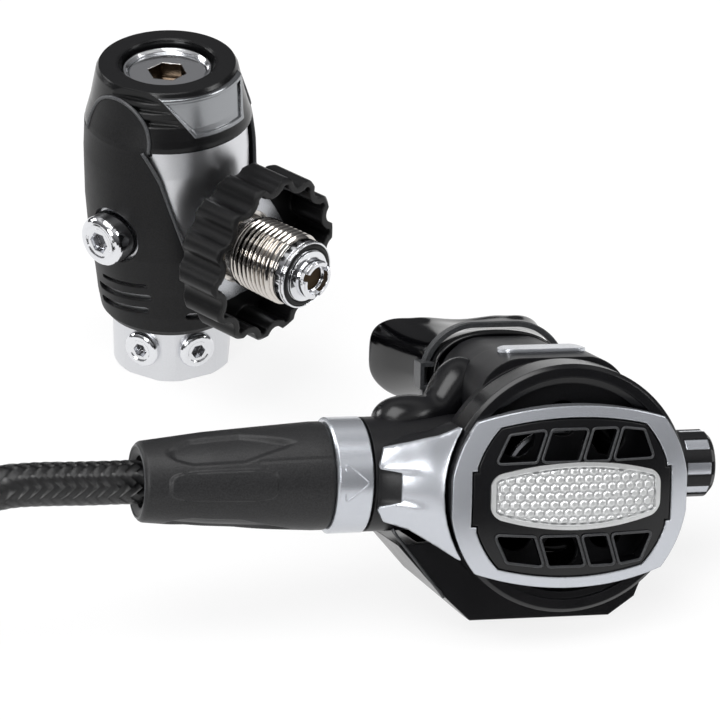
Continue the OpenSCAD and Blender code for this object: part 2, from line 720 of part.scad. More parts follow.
module case_ring() {
    color("#202124") at_stage2() turned_y([
        [cavity_r + 0.4, ring_front], [ring_r - 1, ring_front], [ring_r, ring_front + 1],
        [ring_r, ring_back], [spigot_r + seat_gap, ring_back], [spigot_r + seat_gap, 2.8],
        [cavity_r - 0.2, 2.8], [cavity_r - 0.2, guard_y - 0.1], [cavity_r - 1.6, guard_y - 0.1],
        [cavity_r - 1.6, ring_front + 2], [cavity_r + 0.4, ring_front + 1.6]
    ]);
}
module dome(lift) {
    translate([0, dome_r - dome_front - lift, 0]) sphere(dome_r, $fn = 240);
}
module barrel_outline(half_w, side_r, half_h, arc_r) {
    intersection() {
        circle(side_r);
        square([2 * half_w, 2 * side_r], center = true);
        translate([0, half_h - arc_r]) circle(arc_r, $fn = 200);
        translate([0, arc_r - half_h]) circle(arc_r, $fn = 200);
    }
}
module opening_outline(e) {
    barrel_outline(opening_half_w + e, opening_corner_r + e, opening_half_h + e, edge_arc_r);
    intersection() {
        square([2 * (opening_half_w + 1.5 + e), 16 + 2 * e], center = true);
        circle(opening_half_w + 2.5 + e);
    }
}
module bezel() {
    color("#b4b6b9") at_stage2() intersection() {
        difference() {
            through(-dome_front - 3, ring_front - 0.1) translate([0, bezel_z])
                barrel_outline(case_r, bezel_side_r, bezel_half_h, edge_arc_r);
            through(-dome_front - 4, 0) translate([0, bezel_z]) opening_outline(0);
        }
        dome(0);
    }
}
module forked_arm() {
    inner_x = 3.6 - case_r;
    outer_x = barrel_end + 1;
    notch_x = outer_x + 5.4;
    arm = [
        [outer_x, 11.4], [outer_x + 2, 12.4], [outer_x + 8, 13.6], [inner_x - 5, 17],
        [inner_x + 1.5, 20.5], [inner_x + 1.5, -20.5], [inner_x - 7, -14.5], [outer_x + 8, -12],
        [outer_x + 2.4, -10.6], [outer_x, -9.9], [outer_x, -5.4], [notch_x, -5.4],
        [notch_x + 0.6, -4.4], [notch_x + 0.6, 4.6], [notch_x, 5.4], [outer_x, 5.4]
    ];
    tilt = atan2(8, outer_x - inner_x);
    color("#b4b6b9") at_stage2() difference() {
        intersection() {
            through(-4, 19) polygon(arm);
            translate([inner_x, 0, inlet_z]) rotate([0, 0, -tilt])
                translate([-45, 40, 0]) rotate([0, 90, 0]) cylinder(r = 40, h = 60, $fn = 180);
        }
        on_inlet(-70) cylinder(r = barrel_r + seat_gap, h = 60);
        turned_y([[0, -6], [ring_r + 0.6, -6], [ring_r + 0.6, ring_back + 0.3],
            [case_r + 0.3, ring_back + 0.5], [case_r + 0.3, 30], [0, 30]]);
    }
}
module diaphragm_guard() {
    color("#2b2c2f") at_stage2() difference() {
        turned_y([
            [0, guard_y], [cavity_r - 0.2, guard_y], [cavity_r - 0.2, ledge_y - rim_t - 0.1],
            [cavity_r - 1.8, ledge_y - rim_t - 0.1], [cavity_r - 1.8, guard_y + guard_t],
            [0, guard_y + guard_t]
        ]);
        translate([0, guard_y - cut, 0]) rotate([-90, 0, 0]) cylinder(r = 5, h = 4);
        for (i = [0:7]) rotate([0, 45 * i, 0]) translate([cavity_r - 12.4, guard_y - cut, 0])
            rotate([-90, 0, 0]) cylinder(r = 5.2, h = 4, $fn = 48);
    }
}
// Front of the purge button, moved outward by e and forward by lift
module button_shape(e, lift, back) {
    intersection() {
        through(-dome_front - 3, back) translate([0, bezel_z]) opening_outline(e - button_gap);
        dome(lift);
    }
}
// Row of water slots between leaning bars, above the plate
module slot_row() {
    foot = slot_foot_z;
    top = slot_foot_z + slot_h;
    feet = concat([-slot_half_w - bar_w / 2], bar_feet, [slot_half_w + bar_w / 2 + 0.6]);
    for (i = [0:len(feet) - 2]) {
        lean_l = i == 0 ? 4 : bar_lean;
        lean_r = i == len(feet) - 2 ? -3 : bar_lean;
        polygon([
            [feet[i] + bar_w / 2, foot + (i == 0 ? -0.5 : 0)], [feet[i + 1] - bar_w / 2, foot],
            [feet[i + 1] - bar_w / 2 + lean_r, top - (i == len(feet) - 2 ? 1 : 0)],
            [feet[i] + bar_w / 2 + lean_l, top - (i == 0 ? 1.4 : 0)]
        ]);
    }
}
module purge_button() {
    stem_end = ledge_y - rim_t - 0.9;
    color("#1b1b1d") at_stage2() {
        difference() {
            union() {
                button_shape(0, -0.2, ring_front - purge_travel + 1.3);
                intersection() {
                    button_shape(0, -0.2, guard_y - purge_travel - 1.2);
                    turned_y([[0, -20], [cavity_r - 1.9, -20], [cavity_r - 1.9, 5], [0, 5]]);
                }
                // lip that keeps the button behind the bezel
                intersection() {
                    through(ring_front + 0.3, ring_front + 1.8) translate([0, bezel_z])
                        opening_outline(button_gap + 0.3);
                    turned_y([[0, -9], [cavity_r - 1.9, -9], [cavity_r - 1.9, 5], [0, 5]]);
                }
            }
            intersection() {
                through(-20, guard_y) translate([0, bezel_z]) opening_outline(-button_gap - button_wall);
                dome(-0.2 - button_wall);
            }
            through(-20, 0) translate([0, bezel_z]) slot_row();
            through(-20, 0) translate([0, bezel_z]) mirror([0, 1]) slot_row();
        }
        translate([0, -dome_front + 1.5, 0]) rotate([-90, 0, 0])
            cylinder(r = 4, h = stem_end + dome_front - 1.5);
    }
}
module purge_plate() {
    color("#d4d5d7") at_stage2() difference() {
        intersection() {
            through(-dome_front - 3, 0) translate([0.6, bezel_z + 0.8])
                barrel_outline(plate_half_w, plate_half_w + 1, plate_half_h, 82);
            dome(0.7);
        }
        dome(-0.15);
    }
}
module purge_spring() {
    front = -dome_front + button_wall + 0.5;
    color("#9aa0a6") at_stage2() translate([0, front, 0]) rotate([-90, 0, 0])
        spring(6, 0.5, guard_y - 0.1 - front, 4);
}
module demand_diaphragm() {
    color("#3a3c40") at_stage2() turned_y([
        [centre_r + 0.1, plate_y + 0.4], [centre_r + 4, plate_y + 0.4],
        [centre_r + 6, plate_y - 1.2], [centre_r + 9, plate_y - 1.2],
        [cavity_r - 4.9, ledge_y - rim_t], [cavity_r - 0.2, ledge_y - rim_t],
        [cavity_r - 0.2, ledge_y - 0.05], [cavity_r - 5.4, ledge_y - 0.05],
        [centre_r + 8.6, plate_y - 0.2], [centre_r + 6.4, plate_y - 0.2],
        [centre_r + 4.4, plate_y + 1.4], [centre_r + 0.1, plate_y + 1.4]
    ]);
}
module diaphragm_plate() {
    color("#c7c8ca") at_stage2() turned_y([
        [0, plate_y], [centre_r - 1, plate_y], [centre_r, plate_y + 0.3], [centre_r, plate_y + plate_t],
        [0, plate_y + plate_t]
    ]);
}
module demand_lever() {
    color("#c9cacc") at_stage2() translate([0, 0, inlet_z]) {
        // arm to the diaphragm's plate, pivot pin, foot pad and fork round the poppet's neck
        through_z(-2.2, 2.2) polygon([
            lever_pivot + [1.4, -0.5], lever_pivot + [1.4, 0.5], lever_tip + [-1.8, 0.9],
            lever_tip + [-2.4, 0.3], lever_tip + [-1.8, -0.1], lever_pivot + [-6, -1.2]
        ]);
        translate(lever_pivot) translate([0, 0, -5]) cylinder(r = 0.9, h = 10, $fn = 32);
        through_z(-5, 5) polygon([
            lever_pivot + [1.4, -0.5], lever_pivot + [-3, -0.6], lever_pivot + [-2.6, 0.3],
            lever_pivot + [1.4, 0.6]
        ]);
        for (side = [-1, 1]) translate([0, 0, side * 4.1]) through_z(-0.8, 0.8) polygon([
            lever_pivot + [-1.2, 0], lever_pivot + [1.2, 0], lever_pivot + [0.6, fork_l],
            lever_pivot + [-0.6, fork_l]
        ]);
    }
}
// Second stage: extrudes an outline drawn in X and Y between two heights
module through_z(z0, z1) {
    translate([0, 0, z0]) linear_extrude(z1 - z0) children();
}
module valve_tube() {
    color("#bfc1c4") at_stage2() difference() {
        on_inlet(nut_x) union() {
            cylinder(r = valve_tube_r, h = knob_barrel_end - nut_x - 0.5);
            cylinder(r = 11.8, h = 4);
        }
        on_inlet(nut_x - cut) cylinder(r = valve_bore_r, h = 120);
        // window for the lever's fork and the air's way out to the mouth
        translate([lever_pivot[0] - 5, inlet_y - 12, inlet_z - 6]) cube([9, 14, 12]);
        translate([-12, inlet_y + 3, inlet_z + 1]) cube([10, 8, 5]);
    }
}
module orifice() {
    color("#d0c08c") at_stage2() difference() {
        on_inlet(nut_x + 0.1) turned([
            [0, 0], [valve_bore_r - seat_gap, 0], [valve_bore_r - seat_gap, orifice_l - 3],
            [3.4, orifice_l - 3], [2.9, orifice_l], [0, orifice_l]
        ]);
        on_inlet(nut_x - cut) cylinder(r = 1.9, h = orifice_l + 2, $fn = 32);
    }
}
module demand_poppet() {
    neck_from = lever_pivot[0] - 4.5 - poppet_x;
    neck_to = lever_pivot[0] + 1 - poppet_x;
    color("#e6e6e6") at_stage2() on_inlet(poppet_x) turned([
        [0, 0], [3.6, 0], [3.6, 2], [4.9, 3], [4.9, neck_from], [2.6, neck_from], [2.6, neck_to],
        [4.9, neck_to], [4.9, neck_to + 2.6], [2.2, neck_to + 2.6], [2.2, neck_to + 5], [0, neck_to + 5]
    ]);
}
module poppet_spring() {
    start = lever_pivot[0] + 1 + 2.7;
    color("#9aa0a6") at_stage2() on_inlet(start) spring(3.6, 0.45, spindle_x - 0.1 - start, 4);
}
module adjust_spindle() {
    bore_fit = valve_bore_r - seat_gap;
    color("#bfc1c4") at_stage2() on_inlet(spindle_x) turned([
        [0, 0], [bore_fit, 0], [bore_fit, 2.4], [4, 2.8], [4, 4.8], [bore_fit, 5.2], [bore_fit, 7.6],
        [3.6, 8], [3.6, knob_x - spindle_x + 4], [0, knob_x - spindle_x + 4]
    ]);
}
knob_flutes = 8;
module adjust_knob() {
    color("#1d1e20") at_stage2() difference() {
        on_inlet(knob_x) turned([
            [0, 0], [knob_r - 0.8, 0], [knob_r, 0.8], [knob_r, knob_l - 1.6],
            [knob_r - 1.6, knob_l], [0, knob_l]
        ]);
        on_inlet(knob_x - cut) cylinder(r = 3.6 + seat_gap, h = 4.6 + cut);
        for (i = [0:knob_flutes - 1]) on_inlet(knob_x + 1.6) rotate(360 / knob_flutes * i)
            translate([knob_r - 1.2, -1.9, 0]) cube([4, 3.8, knob_l]);
    }
}
module knob_insets() {
    color("#c2c4c7") at_stage2() intersection() {
        for (i = [0:knob_flutes - 1]) on_inlet(knob_x + 1.7) rotate(360 / knob_flutes * i)
            translate([knob_r - 1.15, -1.8, 0]) cube([4, 3.6, knob_l - 3.4]);
        on_inlet(knob_x) cylinder(r = knob_r - 0.3, h = knob_l);
    }
}
module selector_ring() {
    color("#b6b8ba") at_stage2() on_inlet(selector_x) turned([
        [12.1, 0], [barrel_r - 0.5, 0], [barrel_r + 0.2, 0.5], [barrel_r + 0.2, selector_w - 0.5],
        [barrel_r - 0.5, selector_w], [12.1, selector_w]
    ]);
}
// Shallow finger flute, cut by a round-ended rod that leans with the sleeve's taper
module flute(angle, x, length, r) {
    straight = length / 2 - r;
    on_inlet(x) rotate(angle) translate([sleeve_r + r - 2.4, 0, 0]) rotate([0, -4.5, 0]) turned(concat(
        [for (a = [0:15:90]) [r * sin(a), -straight - r * cos(a)]],
        [for (a = [90:-15:0]) [r * sin(a), straight + r * cos(a)]]
    ));
}
module inlet_sleeve() {
    mouth = hose_r + 0.95;
    color("#28292c") at_stage2() difference() {
        on_inlet(sleeve_x) turned([
            [mouth, 0], [sleeve_mouth_r - 1, 0], [sleeve_mouth_r, 1], [sleeve_mouth_r + 0.6, 6],
            [sleeve_mouth_r + 2, 19], [sleeve_mouth_r + 3, 34], [sleeve_r, sleeve_l - 4],
            [sleeve_r - 0.2, sleeve_l - run_gap], [12.1, sleeve_l - run_gap], [12.1, 12],
            [ferrule_r + 1.4, 10], [mouth, 8]
        ]);
        for (a = [35, 145, -90]) flute(a, sleeve_x + 31, 30, 5);
    }
}
// Rod with round ends between two points
module rod(a, b, r) {
    d = b - a;
    translate(a) rotate([0, acos(d[2] / norm(d)), atan2(d[1], d[0])]) turned(concat(
        [for (t = [0:15:90]) [r * sin(t), -r * cos(t)]],
        [for (t = [90:-15:0]) [r * sin(t), norm(d) + r * cos(t)]]
    ));
}
module bypass_tube() {
    color("#1a1a1c") at_stage2() difference() {
        union() {
            rod([barrel_end + 6.5, 28, 12.8], [1.6 - case_r, 31, 14.8], 7.4);
            rod([5.6 - case_r, 34, neck_z - 3], [15.1 - case_r, 40, neck_z + 5], 6.4);
            rod([1.6 - case_r, 31, 14.8], [5.6 - case_r, 34, neck_z - 3], 6);
        }
        on_inlet(-70) cylinder(r = barrel_r + seat_gap, h = 70);
        through(15, neck_step + 10) neck_outline(neck_r + seat_gap);
        through(13, plateau_end + 0.1) plateau_outline();
        turned_y(concat([[0, 0], [case_r, 0]], case_side(0.2)));
    }
}
module top_badge() {
    color("#8f9194") at_stage2() intersection() {
        translate([0.3, 27, neck_z]) linear_extrude(30) stadium(9, 4);
        through(15, 35) difference() {
            translate([0, neck_z]) stadium(9.5, neck_r + 1.1);
            translate([0, neck_z]) stadium(9.5, neck_r + 0.05);
        }
    }
}
module tee_outline(raise) {
    polygon([
        [-46, -17 + raise], [-35, -29.5 + raise], [-24.5, -39.4 + raise], [17, -39.4 + raise],
        [24.6, -34.2 + raise], [27.3, -27.5 + raise], [20, -18], [0, -14], [-28, -16]
    ]);
}
// Half space below the second stage's resting plane, raised by e, and the one above it
module below_rest(e) {
    translate([0, tee_front, rest_z + e]) rotate([-stage2_turn[0], 0, 0])
        translate([-60, -20, -40]) cube([120, 80, 40]);
}
module above_rest(e) {
    translate([0, tee_front, rest_z + e]) rotate([-stage2_turn[0], 0, 0])
        translate([-60, -20, 0]) cube([120, 80, 80]);
}
module exhaust_tee() {
    wall = 2;
    color("#17181a") difference() {
        at_stage2() difference() {
            through(tee_front, tee_back) tee_outline(0);
            below_rest(0);
            intersection() {
                through(tee_front + wall, tee_back - wall) polygon([
                    [-60, -10], [-43, -17 + 2 * wall], [-24, -39.4 + 2 * wall], [16, -39.4 + 2 * wall],
                    [21.6, -32.4], [23.8, -27], [17, -10]
                ]);
                above_rest(wall);
            }
            // right outlet
            translate([18, tee_front + 8, -32]) cube([20, tee_back - tee_front - 12, 9]);
            turned_y(concat(
                [[0, 0], [ring_r + 0.4, 0], [ring_r + 0.4, ring_back + run_gap]], case_side(0.15)
            ));
            translate([0, exhaust_y, exhaust_seat_z - 0.8]) cylinder(r = exhaust_r + 2.4, h = 12);
            on_inlet(-60) cylinder(r = barrel_r + 0.3, h = 60);
            through(10, 70) neck_outline(neck_r + 0.3);
        }
        translate([-150, -300, -50]) cube([300, 300, 50]);
    }
}
module exhaust_valve() {
    color("#3d3f43") at_stage2() translate([0, exhaust_y, exhaust_seat_z]) turned([
        [0, -0.4], [exhaust_r, 0], [exhaust_r, 0.4], [1.2, 0.7], [1.2, 4.4], [0, 4.8]
    ]);
}
// Closed loop of the mouthpiece: a rounded box at one depth, with a notch at its top and bottom middle
function lip_loop(w, h, y, square, sweep, dip, sides) = [
    for (k = [0:sides - 1])
        let (a = 360 * k / sides, c = cos(a), s = sin(a),
            x = w * sign(c) * pow(abs(c), square), z = h * sign(s) * pow(abs(s), square))
        [neck_x - sweep / 2 + x, y + sweep * x * x / 400, neck_z + z * (1 - dip * exp(-x * x / 12))]
];
module mouthpiece() {
    sides = 36;
    bore = neck_r - spigot_drop - neck_wall;
    seat = neck_r - spigot_drop + run_gap;
    half = neck_half;
    lip = neck_end + 22;
    loops = [
        lip_loop(half + neck_r + 1, neck_r + 1, neck_step + 2.5, 0.8, 0, 0, sides),
        lip_loop(half + neck_r + 1.2, neck_r + 1.2, neck_step + 8, 0.8, 0, 0, sides),
        lip_loop(half + neck_r + 1, neck_r + 0.2, neck_end + 2, 0.76, 0, 0, sides),
        lip_loop(half + neck_r, neck_r - 1.6, neck_end + 9, 0.7, 0.6, 0.02, sides),
        lip_loop(half + neck_r + 3, neck_r - 1.2, lip - 5, 0.62, 1.2, 0.06, sides),
        lip_loop(lip_half_w - 1.6, lip_half_h - 1, lip - 1, 0.5, 2.2, 0.12, sides),
        lip_loop(lip_half_w, lip_half_h, lip + 1.4, 0.46, 2.4, 0.14, sides),
        lip_loop(lip_half_w - 1, lip_half_h - 0.8, lip + 3.4, 0.46, 2.4, 0.14, sides),
        lip_loop(half + neck_r + 1, neck_r - 4.4, lip + 0.4, 0.6, 1.6, 0.08, sides),
        lip_loop(half + bore + 1, bore - 1.6, lip - 4, 0.8, 0.8, 0, sides),
        lip_loop(half + bore, bore, neck_end + 8, 0.8, 0, 0, sides),
        lip_loop(half + bore, bore, neck_end + 0.5, 0.8, 0, 0, sides),
        lip_loop(half + seat + 1.6, seat + 0.6, neck_end + 0.5, 0.8, 0, 0, sides),
        lip_loop(half + seat + 1.6, seat + 0.6, neck_step + 2.5, 0.8, 0, 0, sides)
    ];
    count = len(loops);
    points = [for (loop = loops) each loop];
    faces = [for (i = [0:count - 1], k = [0:sides - 1])
        let (a = i * sides + k, b = i * sides + (k + 1) % sides,
            c = ((i + 1) % count) * sides + (k + 1) % sides, d = ((i + 1) % count) * sides + k)
        each [[a, b, c], [a, c, d]]];
    color("#0f0f10") at_stage2() polyhedron(points, faces);
}
module mouthpiece_tie() {
    color("#111112") at_stage2() difference() {
        union() {
            through(neck_step + 6, neck_step + 9.5) neck_outline(neck_r + 3.4);
            translate([neck_x - neck_half - neck_r - 4, neck_step + 4.8, neck_z - 4]) cube([5, 6, 8]);
        }
        through(neck_step - 5, neck_end + 5) neck_outline(neck_r + 1.6);
    }
}

// ---- Hose ----
module inlet_nut() {
    color("#c9cacc") at_stage2() difference() {
        union() {
            on_inlet(nut_x - nut_l) linear_extrude(nut_l - 5) hexagon(19);
            on_inlet(nut_x - 5) cylinder(r = 9, h = 5 - 0.1);
        }
        on_inlet(nut_x - nut_l - cut) cylinder(r = 3, h = 40, $fn = 32);
    }
}
module hose_ferrule() {
    color("#c9cacc") at_stage2() on_inlet(hose_start_x) turned([
        [3, 0], [ferrule_r - 0.4, 0], [ferrule_r, 0.4], [ferrule_r, 8], [ferrule_r - 0.6, 9],
        [ferrule_r - 0.6, 13], [ferrule_r, 14], [ferrule_r, ferrule_l], [3, ferrule_l]
    ]);
}
function stage2_point(p) =
    let (a = stage2_turn,
        q = [p[0], p[1] * cos(a[0]) - p[2] * sin(a[0]), p[1] * sin(a[0]) + p[2] * cos(a[0])],
        s = [q[0] * cos(a[1]) + q[2] * sin(a[1]), q[1], q[2] * cos(a[1]) - q[0] * sin(a[1])])
    stage2_at + [s[0] * cos(a[2]) - s[1] * sin(a[2]), s[0] * sin(a[2]) + s[1] * cos(a[2]), s[2]];
hose_path = concat(
    [for (x = [hose_start_x, hose_start_x - hose_d, sleeve_x, sleeve_x - 12])
        stage2_point([x, inlet_y, inlet_z])],
    hose_points,
    [for (d = [hose_d, 0.6]) coil_start - d * [cos(coil_heading), sin(coil_heading), 0]]
);
module hose_run() {
    color("#1d1e20") tube(hose_path, hose_r, 12);
}
module hose_coil() {
    color("#1d1e20") tube(concat(coil_path, [hose_end]), hose_r, 6);
}
// Least gap of the hose to itself, from points along its centre line
function between(path, parts) = [
    for (i = [0:len(path) - 2], j = [0:parts - 1]) path[i] + (path[i + 1] - path[i]) * j / parts
];
coil_points = between(concat(coil_path, [hose_end]), 4);
run_points = between(hose_path, 4);
loop_points = 4 * rings_per_loop;
coil_gap = min([for (i = [0:len(coil_points) - 1], j = [i + loop_points / 2:len(coil_points) - 1])
    norm(coil_points[i] - coil_points[j])]) - hose_d;
run_gap_to_coil = min([for (a = run_points, i = [loop_points / 4:len(coil_points) - 1])
    norm(a - coil_points[i])]) - hose_d;
echo(coil_gap_to_itself_mm = coil_gap, run_gap_to_coil_mm = run_gap_to_coil);
module at_hose_end() {
    translate(hose_end) rotate([0, 90, coil_end_heading]) children();
}
module end_ferrule() {
    color("#c9cacc") at_hose_end() difference() {
        turned([
            [0, 0], [hose_r - 0.2, 0], [hose_r, 0.3], [hose_r, end_ferrule_l], [0, end_ferrule_l]
        ]);
        translate([0, 0, -cut]) cylinder(r = 3, h = 40, $fn = 32);
    }
}
module end_fitting() {
    color("#c9cacc") at_hose_end() difference() {
        union() {
            translate([0, 0, end_ferrule_l + 0.05]) linear_extrude(end_hex_l) rotate(30) hexagon(12.4);
            translate([0, 0, end_ferrule_l + end_hex_l]) cylinder(r = 3.4, h = 3);
            translate([0, 0, end_ferrule_l + end_hex_l + 2.4])
                cylinder(r = fitting_thread_r, h = fitting_thread_l);
        }
        translate([0, 0, end_ferrule_l - cut]) cylinder(r = 2.4, h = 60, $fn = 32);
    }
}
module end_o_ring() {
    color("#151515") at_hose_end() translate([0, 0, end_ferrule_l + end_hex_l + 1.2]) o_ring(4.45, 0.9);
}

pressure_body();
shroud();
top_cap();
cap_plate();
spring_retainer();
pressure_adjuster();
main_spring();
spring_pad();
main_diaphragm();
thrust_pin();
inlet_poppet();
inlet_spring();
balance_plug();
lp_plugs();
gauge_plugs();
plug_o_rings();
din_nipple();
din_bolt();
handwheel();
hub_washer();
din_o_ring();
inlet_filter();
filter_retainer();
case();
case_ring();
bezel();
forked_arm();
diaphragm_guard();
purge_button();
purge_plate();
purge_spring();
demand_diaphragm();
diaphragm_plate();
demand_lever();
valve_tube();
orifice();
demand_poppet();
poppet_spring();
adjust_spindle();
adjust_knob();
knob_insets();
selector_ring();
inlet_sleeve();
bypass_tube();
top_badge();
exhaust_tee();
exhaust_valve();
mouthpiece();
mouthpiece_tie();
inlet_nut();
hose_ferrule();
hose_run();
hose_coil();
end_ferrule();
end_fitting();
end_o_ring();
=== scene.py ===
import math
import bpy
import bmesh
from mathutils import Matrix, Vector
from mathutils.geometry import delaunay_2d_cdt


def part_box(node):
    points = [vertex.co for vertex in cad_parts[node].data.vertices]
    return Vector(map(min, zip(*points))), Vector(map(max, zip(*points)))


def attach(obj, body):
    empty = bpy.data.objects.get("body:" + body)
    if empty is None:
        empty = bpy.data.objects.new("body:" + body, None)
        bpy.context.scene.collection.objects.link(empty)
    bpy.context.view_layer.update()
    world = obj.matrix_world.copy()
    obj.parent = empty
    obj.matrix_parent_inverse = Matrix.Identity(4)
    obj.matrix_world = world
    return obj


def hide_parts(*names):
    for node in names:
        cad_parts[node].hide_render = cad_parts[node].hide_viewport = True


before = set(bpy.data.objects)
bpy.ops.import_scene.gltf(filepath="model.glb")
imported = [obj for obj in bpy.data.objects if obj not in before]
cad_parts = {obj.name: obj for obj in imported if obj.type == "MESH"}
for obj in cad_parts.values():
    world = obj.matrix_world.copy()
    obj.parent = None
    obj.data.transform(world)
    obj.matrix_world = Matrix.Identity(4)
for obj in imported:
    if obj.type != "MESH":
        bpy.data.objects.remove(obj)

# ---- Camera ----
# A long lens on a tripod, half above the set and turned to its left side, so that both
# stages show their fronts. It stands one and a half metres away.
bpy.context.scene.view_settings.view_transform = "Standard"
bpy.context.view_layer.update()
view_azimuth = math.radians(-47)
view_elevation = math.radians(31)
view_target = Vector((0.000913, -0.078384, 0.028638))
view_distance = 1.52
camera_data = bpy.data.cameras.new("camera")
camera_data.sensor_width = 36
camera_data.lens = 254.25
camera_data.clip_end = 20
camera = bpy.data.objects.new("camera", camera_data)
bpy.context.collection.objects.link(camera)
back = Vector((
    math.sin(view_azimuth) * math.cos(view_elevation),
    -math.cos(view_azimuth) * math.cos(view_elevation),
    math.sin(view_elevation),
))
right = Vector((math.cos(view_azimuth), math.sin(view_azimuth), 0))
upward = back.cross(right)
camera.matrix_world = Matrix.Translation(view_target + back * view_distance) @ Matrix(
    (right, upward, back)
).transposed().to_4x4()
bpy.context.scene.camera = camera

# ---- Shared shapes ----
# The second stage lies turned and tilted, so its pieces are placed in its own frame, in
# millimetres. The other functions build a new object, a bead and a turned skin.
stage2_origin = Vector((-28, -185, 43))
stage2_turn = (Matrix.Rotation(math.radians(-32.5), 3, "Z") @ Matrix.Rotation(math.radians(6.8), 3, "Y")
               @ Matrix.Rotation(math.radians(-20.9), 3, "X"))


def in_stage2(x, y, z):
    """Point of the second stage's own frame, in millimetres, as a point of the set in metres."""
    return (stage2_origin + stage2_turn @ Vector((x, y, z))) / 1000


def on_first_stage(x, y, depth):
    """Point of the standing first stage, with depth as height."""
    return Vector((x, y, depth)) / 1000


def clamped(value):
    """A value held between 0 and 1."""
    return min(max(value, 0), 1)


def eased(value):
    """A step from 0 to 1 with soft ends."""
    return clamped(value) ** 2 * (3 - 2 * clamped(value))


def round_points(radius, count):
    """Evenly spaced points of a circle, as (x, y) pairs."""
    return [(radius * math.cos(math.tau * k / count), radius * math.sin(math.tau * k / count))
            for k in range(count)]


def radius_at(profile, height):
    """Radius of a turned profile of (height, radius) pairs at a height, in millimetres."""
    for (z0, r0), (z1, r1) in zip(profile, profile[1:]):
        if height <= z1:
            return r0 + (r1 - r0) * max(height - z0, 0) / (z1 - z0)
    return profile[-1][1]


def quads_between(rows, sides, closed=False):
    """Faces between each row of points round a skin and the next, and back to the first if closed."""
    faces = []
    for i in range(rows if closed else rows - 1):
        a, b = i * sides, (i + 1) % rows * sides
        faces += [(a + k, a + (k + 1) % sides, b + (k + 1) % sides, b + k) for k in range(sides)]
    return faces


def add_piece(name, verts, faces, sharp=None, smooth=True):
    """New object of points and faces, smooth except at edges past an angle in degrees."""
    mesh = bpy.data.meshes.new(name)
    mesh.from_pydata(verts, [], faces)
    for polygon in mesh.polygons:
        polygon.use_smooth = smooth
    if sharp:
        mesh.set_sharp_from_angle(angle=math.radians(sharp))
    piece = bpy.data.objects.new(name, mesh)
    bpy.context.collection.objects.link(piece)
    return piece


def bead(name, points, radius, closed=False, sides=8):
    """Round bead along points in metres, of one radius or of one for each point."""
    count = len(points)
    radii = radius if isinstance(radius, list) else [radius] * count
    verts, side = [], None
    for i, point in enumerate(points):
        before = points[(i - 1) % count] if closed or i else point
        after = points[(i + 1) % count] if closed or i < count - 1 else point
        ahead = (after - before).normalized()
        side = side or ahead.orthogonal().normalized()
        side = (side - ahead * side.dot(ahead)).normalized()
        above = side.cross(ahead)
        verts += [point + radii[i] * (c * side + s * above) for c, s in round_points(1, sides)]
    faces = quads_between(count, sides)
    if closed:
        last = (count - 1) * sides
        shift = min(range(sides), key=lambda k: (verts[last] - verts[k]).length)
        faces += [(last + k, last + (k + 1) % sides, (k + 1 + shift) % sides, (k + shift) % sides)
                  for k in range(sides)]
    else:
        faces += [tuple(range(sides))[::-1], tuple(range(len(verts) - sides, len(verts)))]
    return add_piece(name, verts, faces)


def turned_skin(name, outline, place, sides=96, sharp=35):
    """Skin turned from (radius, depth) points in millimetres, where place puts (x, y, depth)."""
    verts, faces, rows = [], [], []
    for radius, depth in outline:
        if radius < 0.001:
            rows.append([len(verts)] * sides)
            verts.append(place(0, 0, depth))
            continue
        rows.append(list(range(len(verts), len(verts) + sides)))
        verts += [place(x, y, depth) for x, y in round_points(radius, sides)]
    for low, high in zip(rows, rows[1:]):
        for k in range(sides):
            k2 = (k + 1) % sides
            face = list(dict.fromkeys((low[k], low[k2], high[k2], high[k])))
            if len(face) > 2:
                faces.append(face)
    return add_piece(name, verts, faces, sharp)


def rounded_loop(corners, radius, steps=6):
    """Closed outline through corners rounded to a radius."""
    loop = []
    for i, here in enumerate(corners):
        before, after = Vector(corners[i - 1]), Vector(corners[(i + 1) % len(corners)])
        here = Vector(here)
        towards, onward = (before - here).normalized(), (after - here).normalized()
        cut = min(radius / math.tan(towards.angle(onward) / 2), (before - here).length / 2,
                  (after - here).length / 2)
        start, end = here + towards * cut, here + onward * cut
        for k in range(steps + 1):
            t = k / steps
            loop.append(start * (1 - t) ** 2 + here * 2 * t * (1 - t) + end * t * t)
    return loop


# ---- Shared finishes ----
# Three kinds of finish cover the set: plated or turned metal, moulded polymer, and silver
# lacquer on plastic. Each has its grain and softened edges; metal and lacquer also get
# painted shade, a darker colour in their hollows.
# The grain is drawn 0.45 mm wide, since the real one of about 0.1 mm wouldn't show.
grain_seen = 0.00045


def srgb(text):
    """Linear colour with alpha of an sRGB hex value."""
    parts = [int(text[i:i + 2], 16) / 255 for i in (1, 3, 5)]
    return [c / 12.92 if c <= 0.04045 else ((c + 0.055) / 1.055) ** 2.4 for c in parts] + [1]


def add_node(tree, kind, inputs=None, **settings):
    """Adds a shader node with its settings, and sets or links its inputs."""
    node = tree.nodes.new("ShaderNode" + kind)
    for name, value in settings.items():
        setattr(node, name, value)
    for name, value in (inputs or {}).items():
        if isinstance(value, bpy.types.NodeSocket):
            tree.links.new(value, node.inputs[name])
        else:
            node.inputs[name].default_value = value
    return node


def new_material(name):
    """Starts a material and returns it with its tree and its Principled shader."""
    material = bpy.data.materials.new(name)
    material.use_nodes = True
    return material, material.node_tree, material.node_tree.nodes["Principled BSDF"]


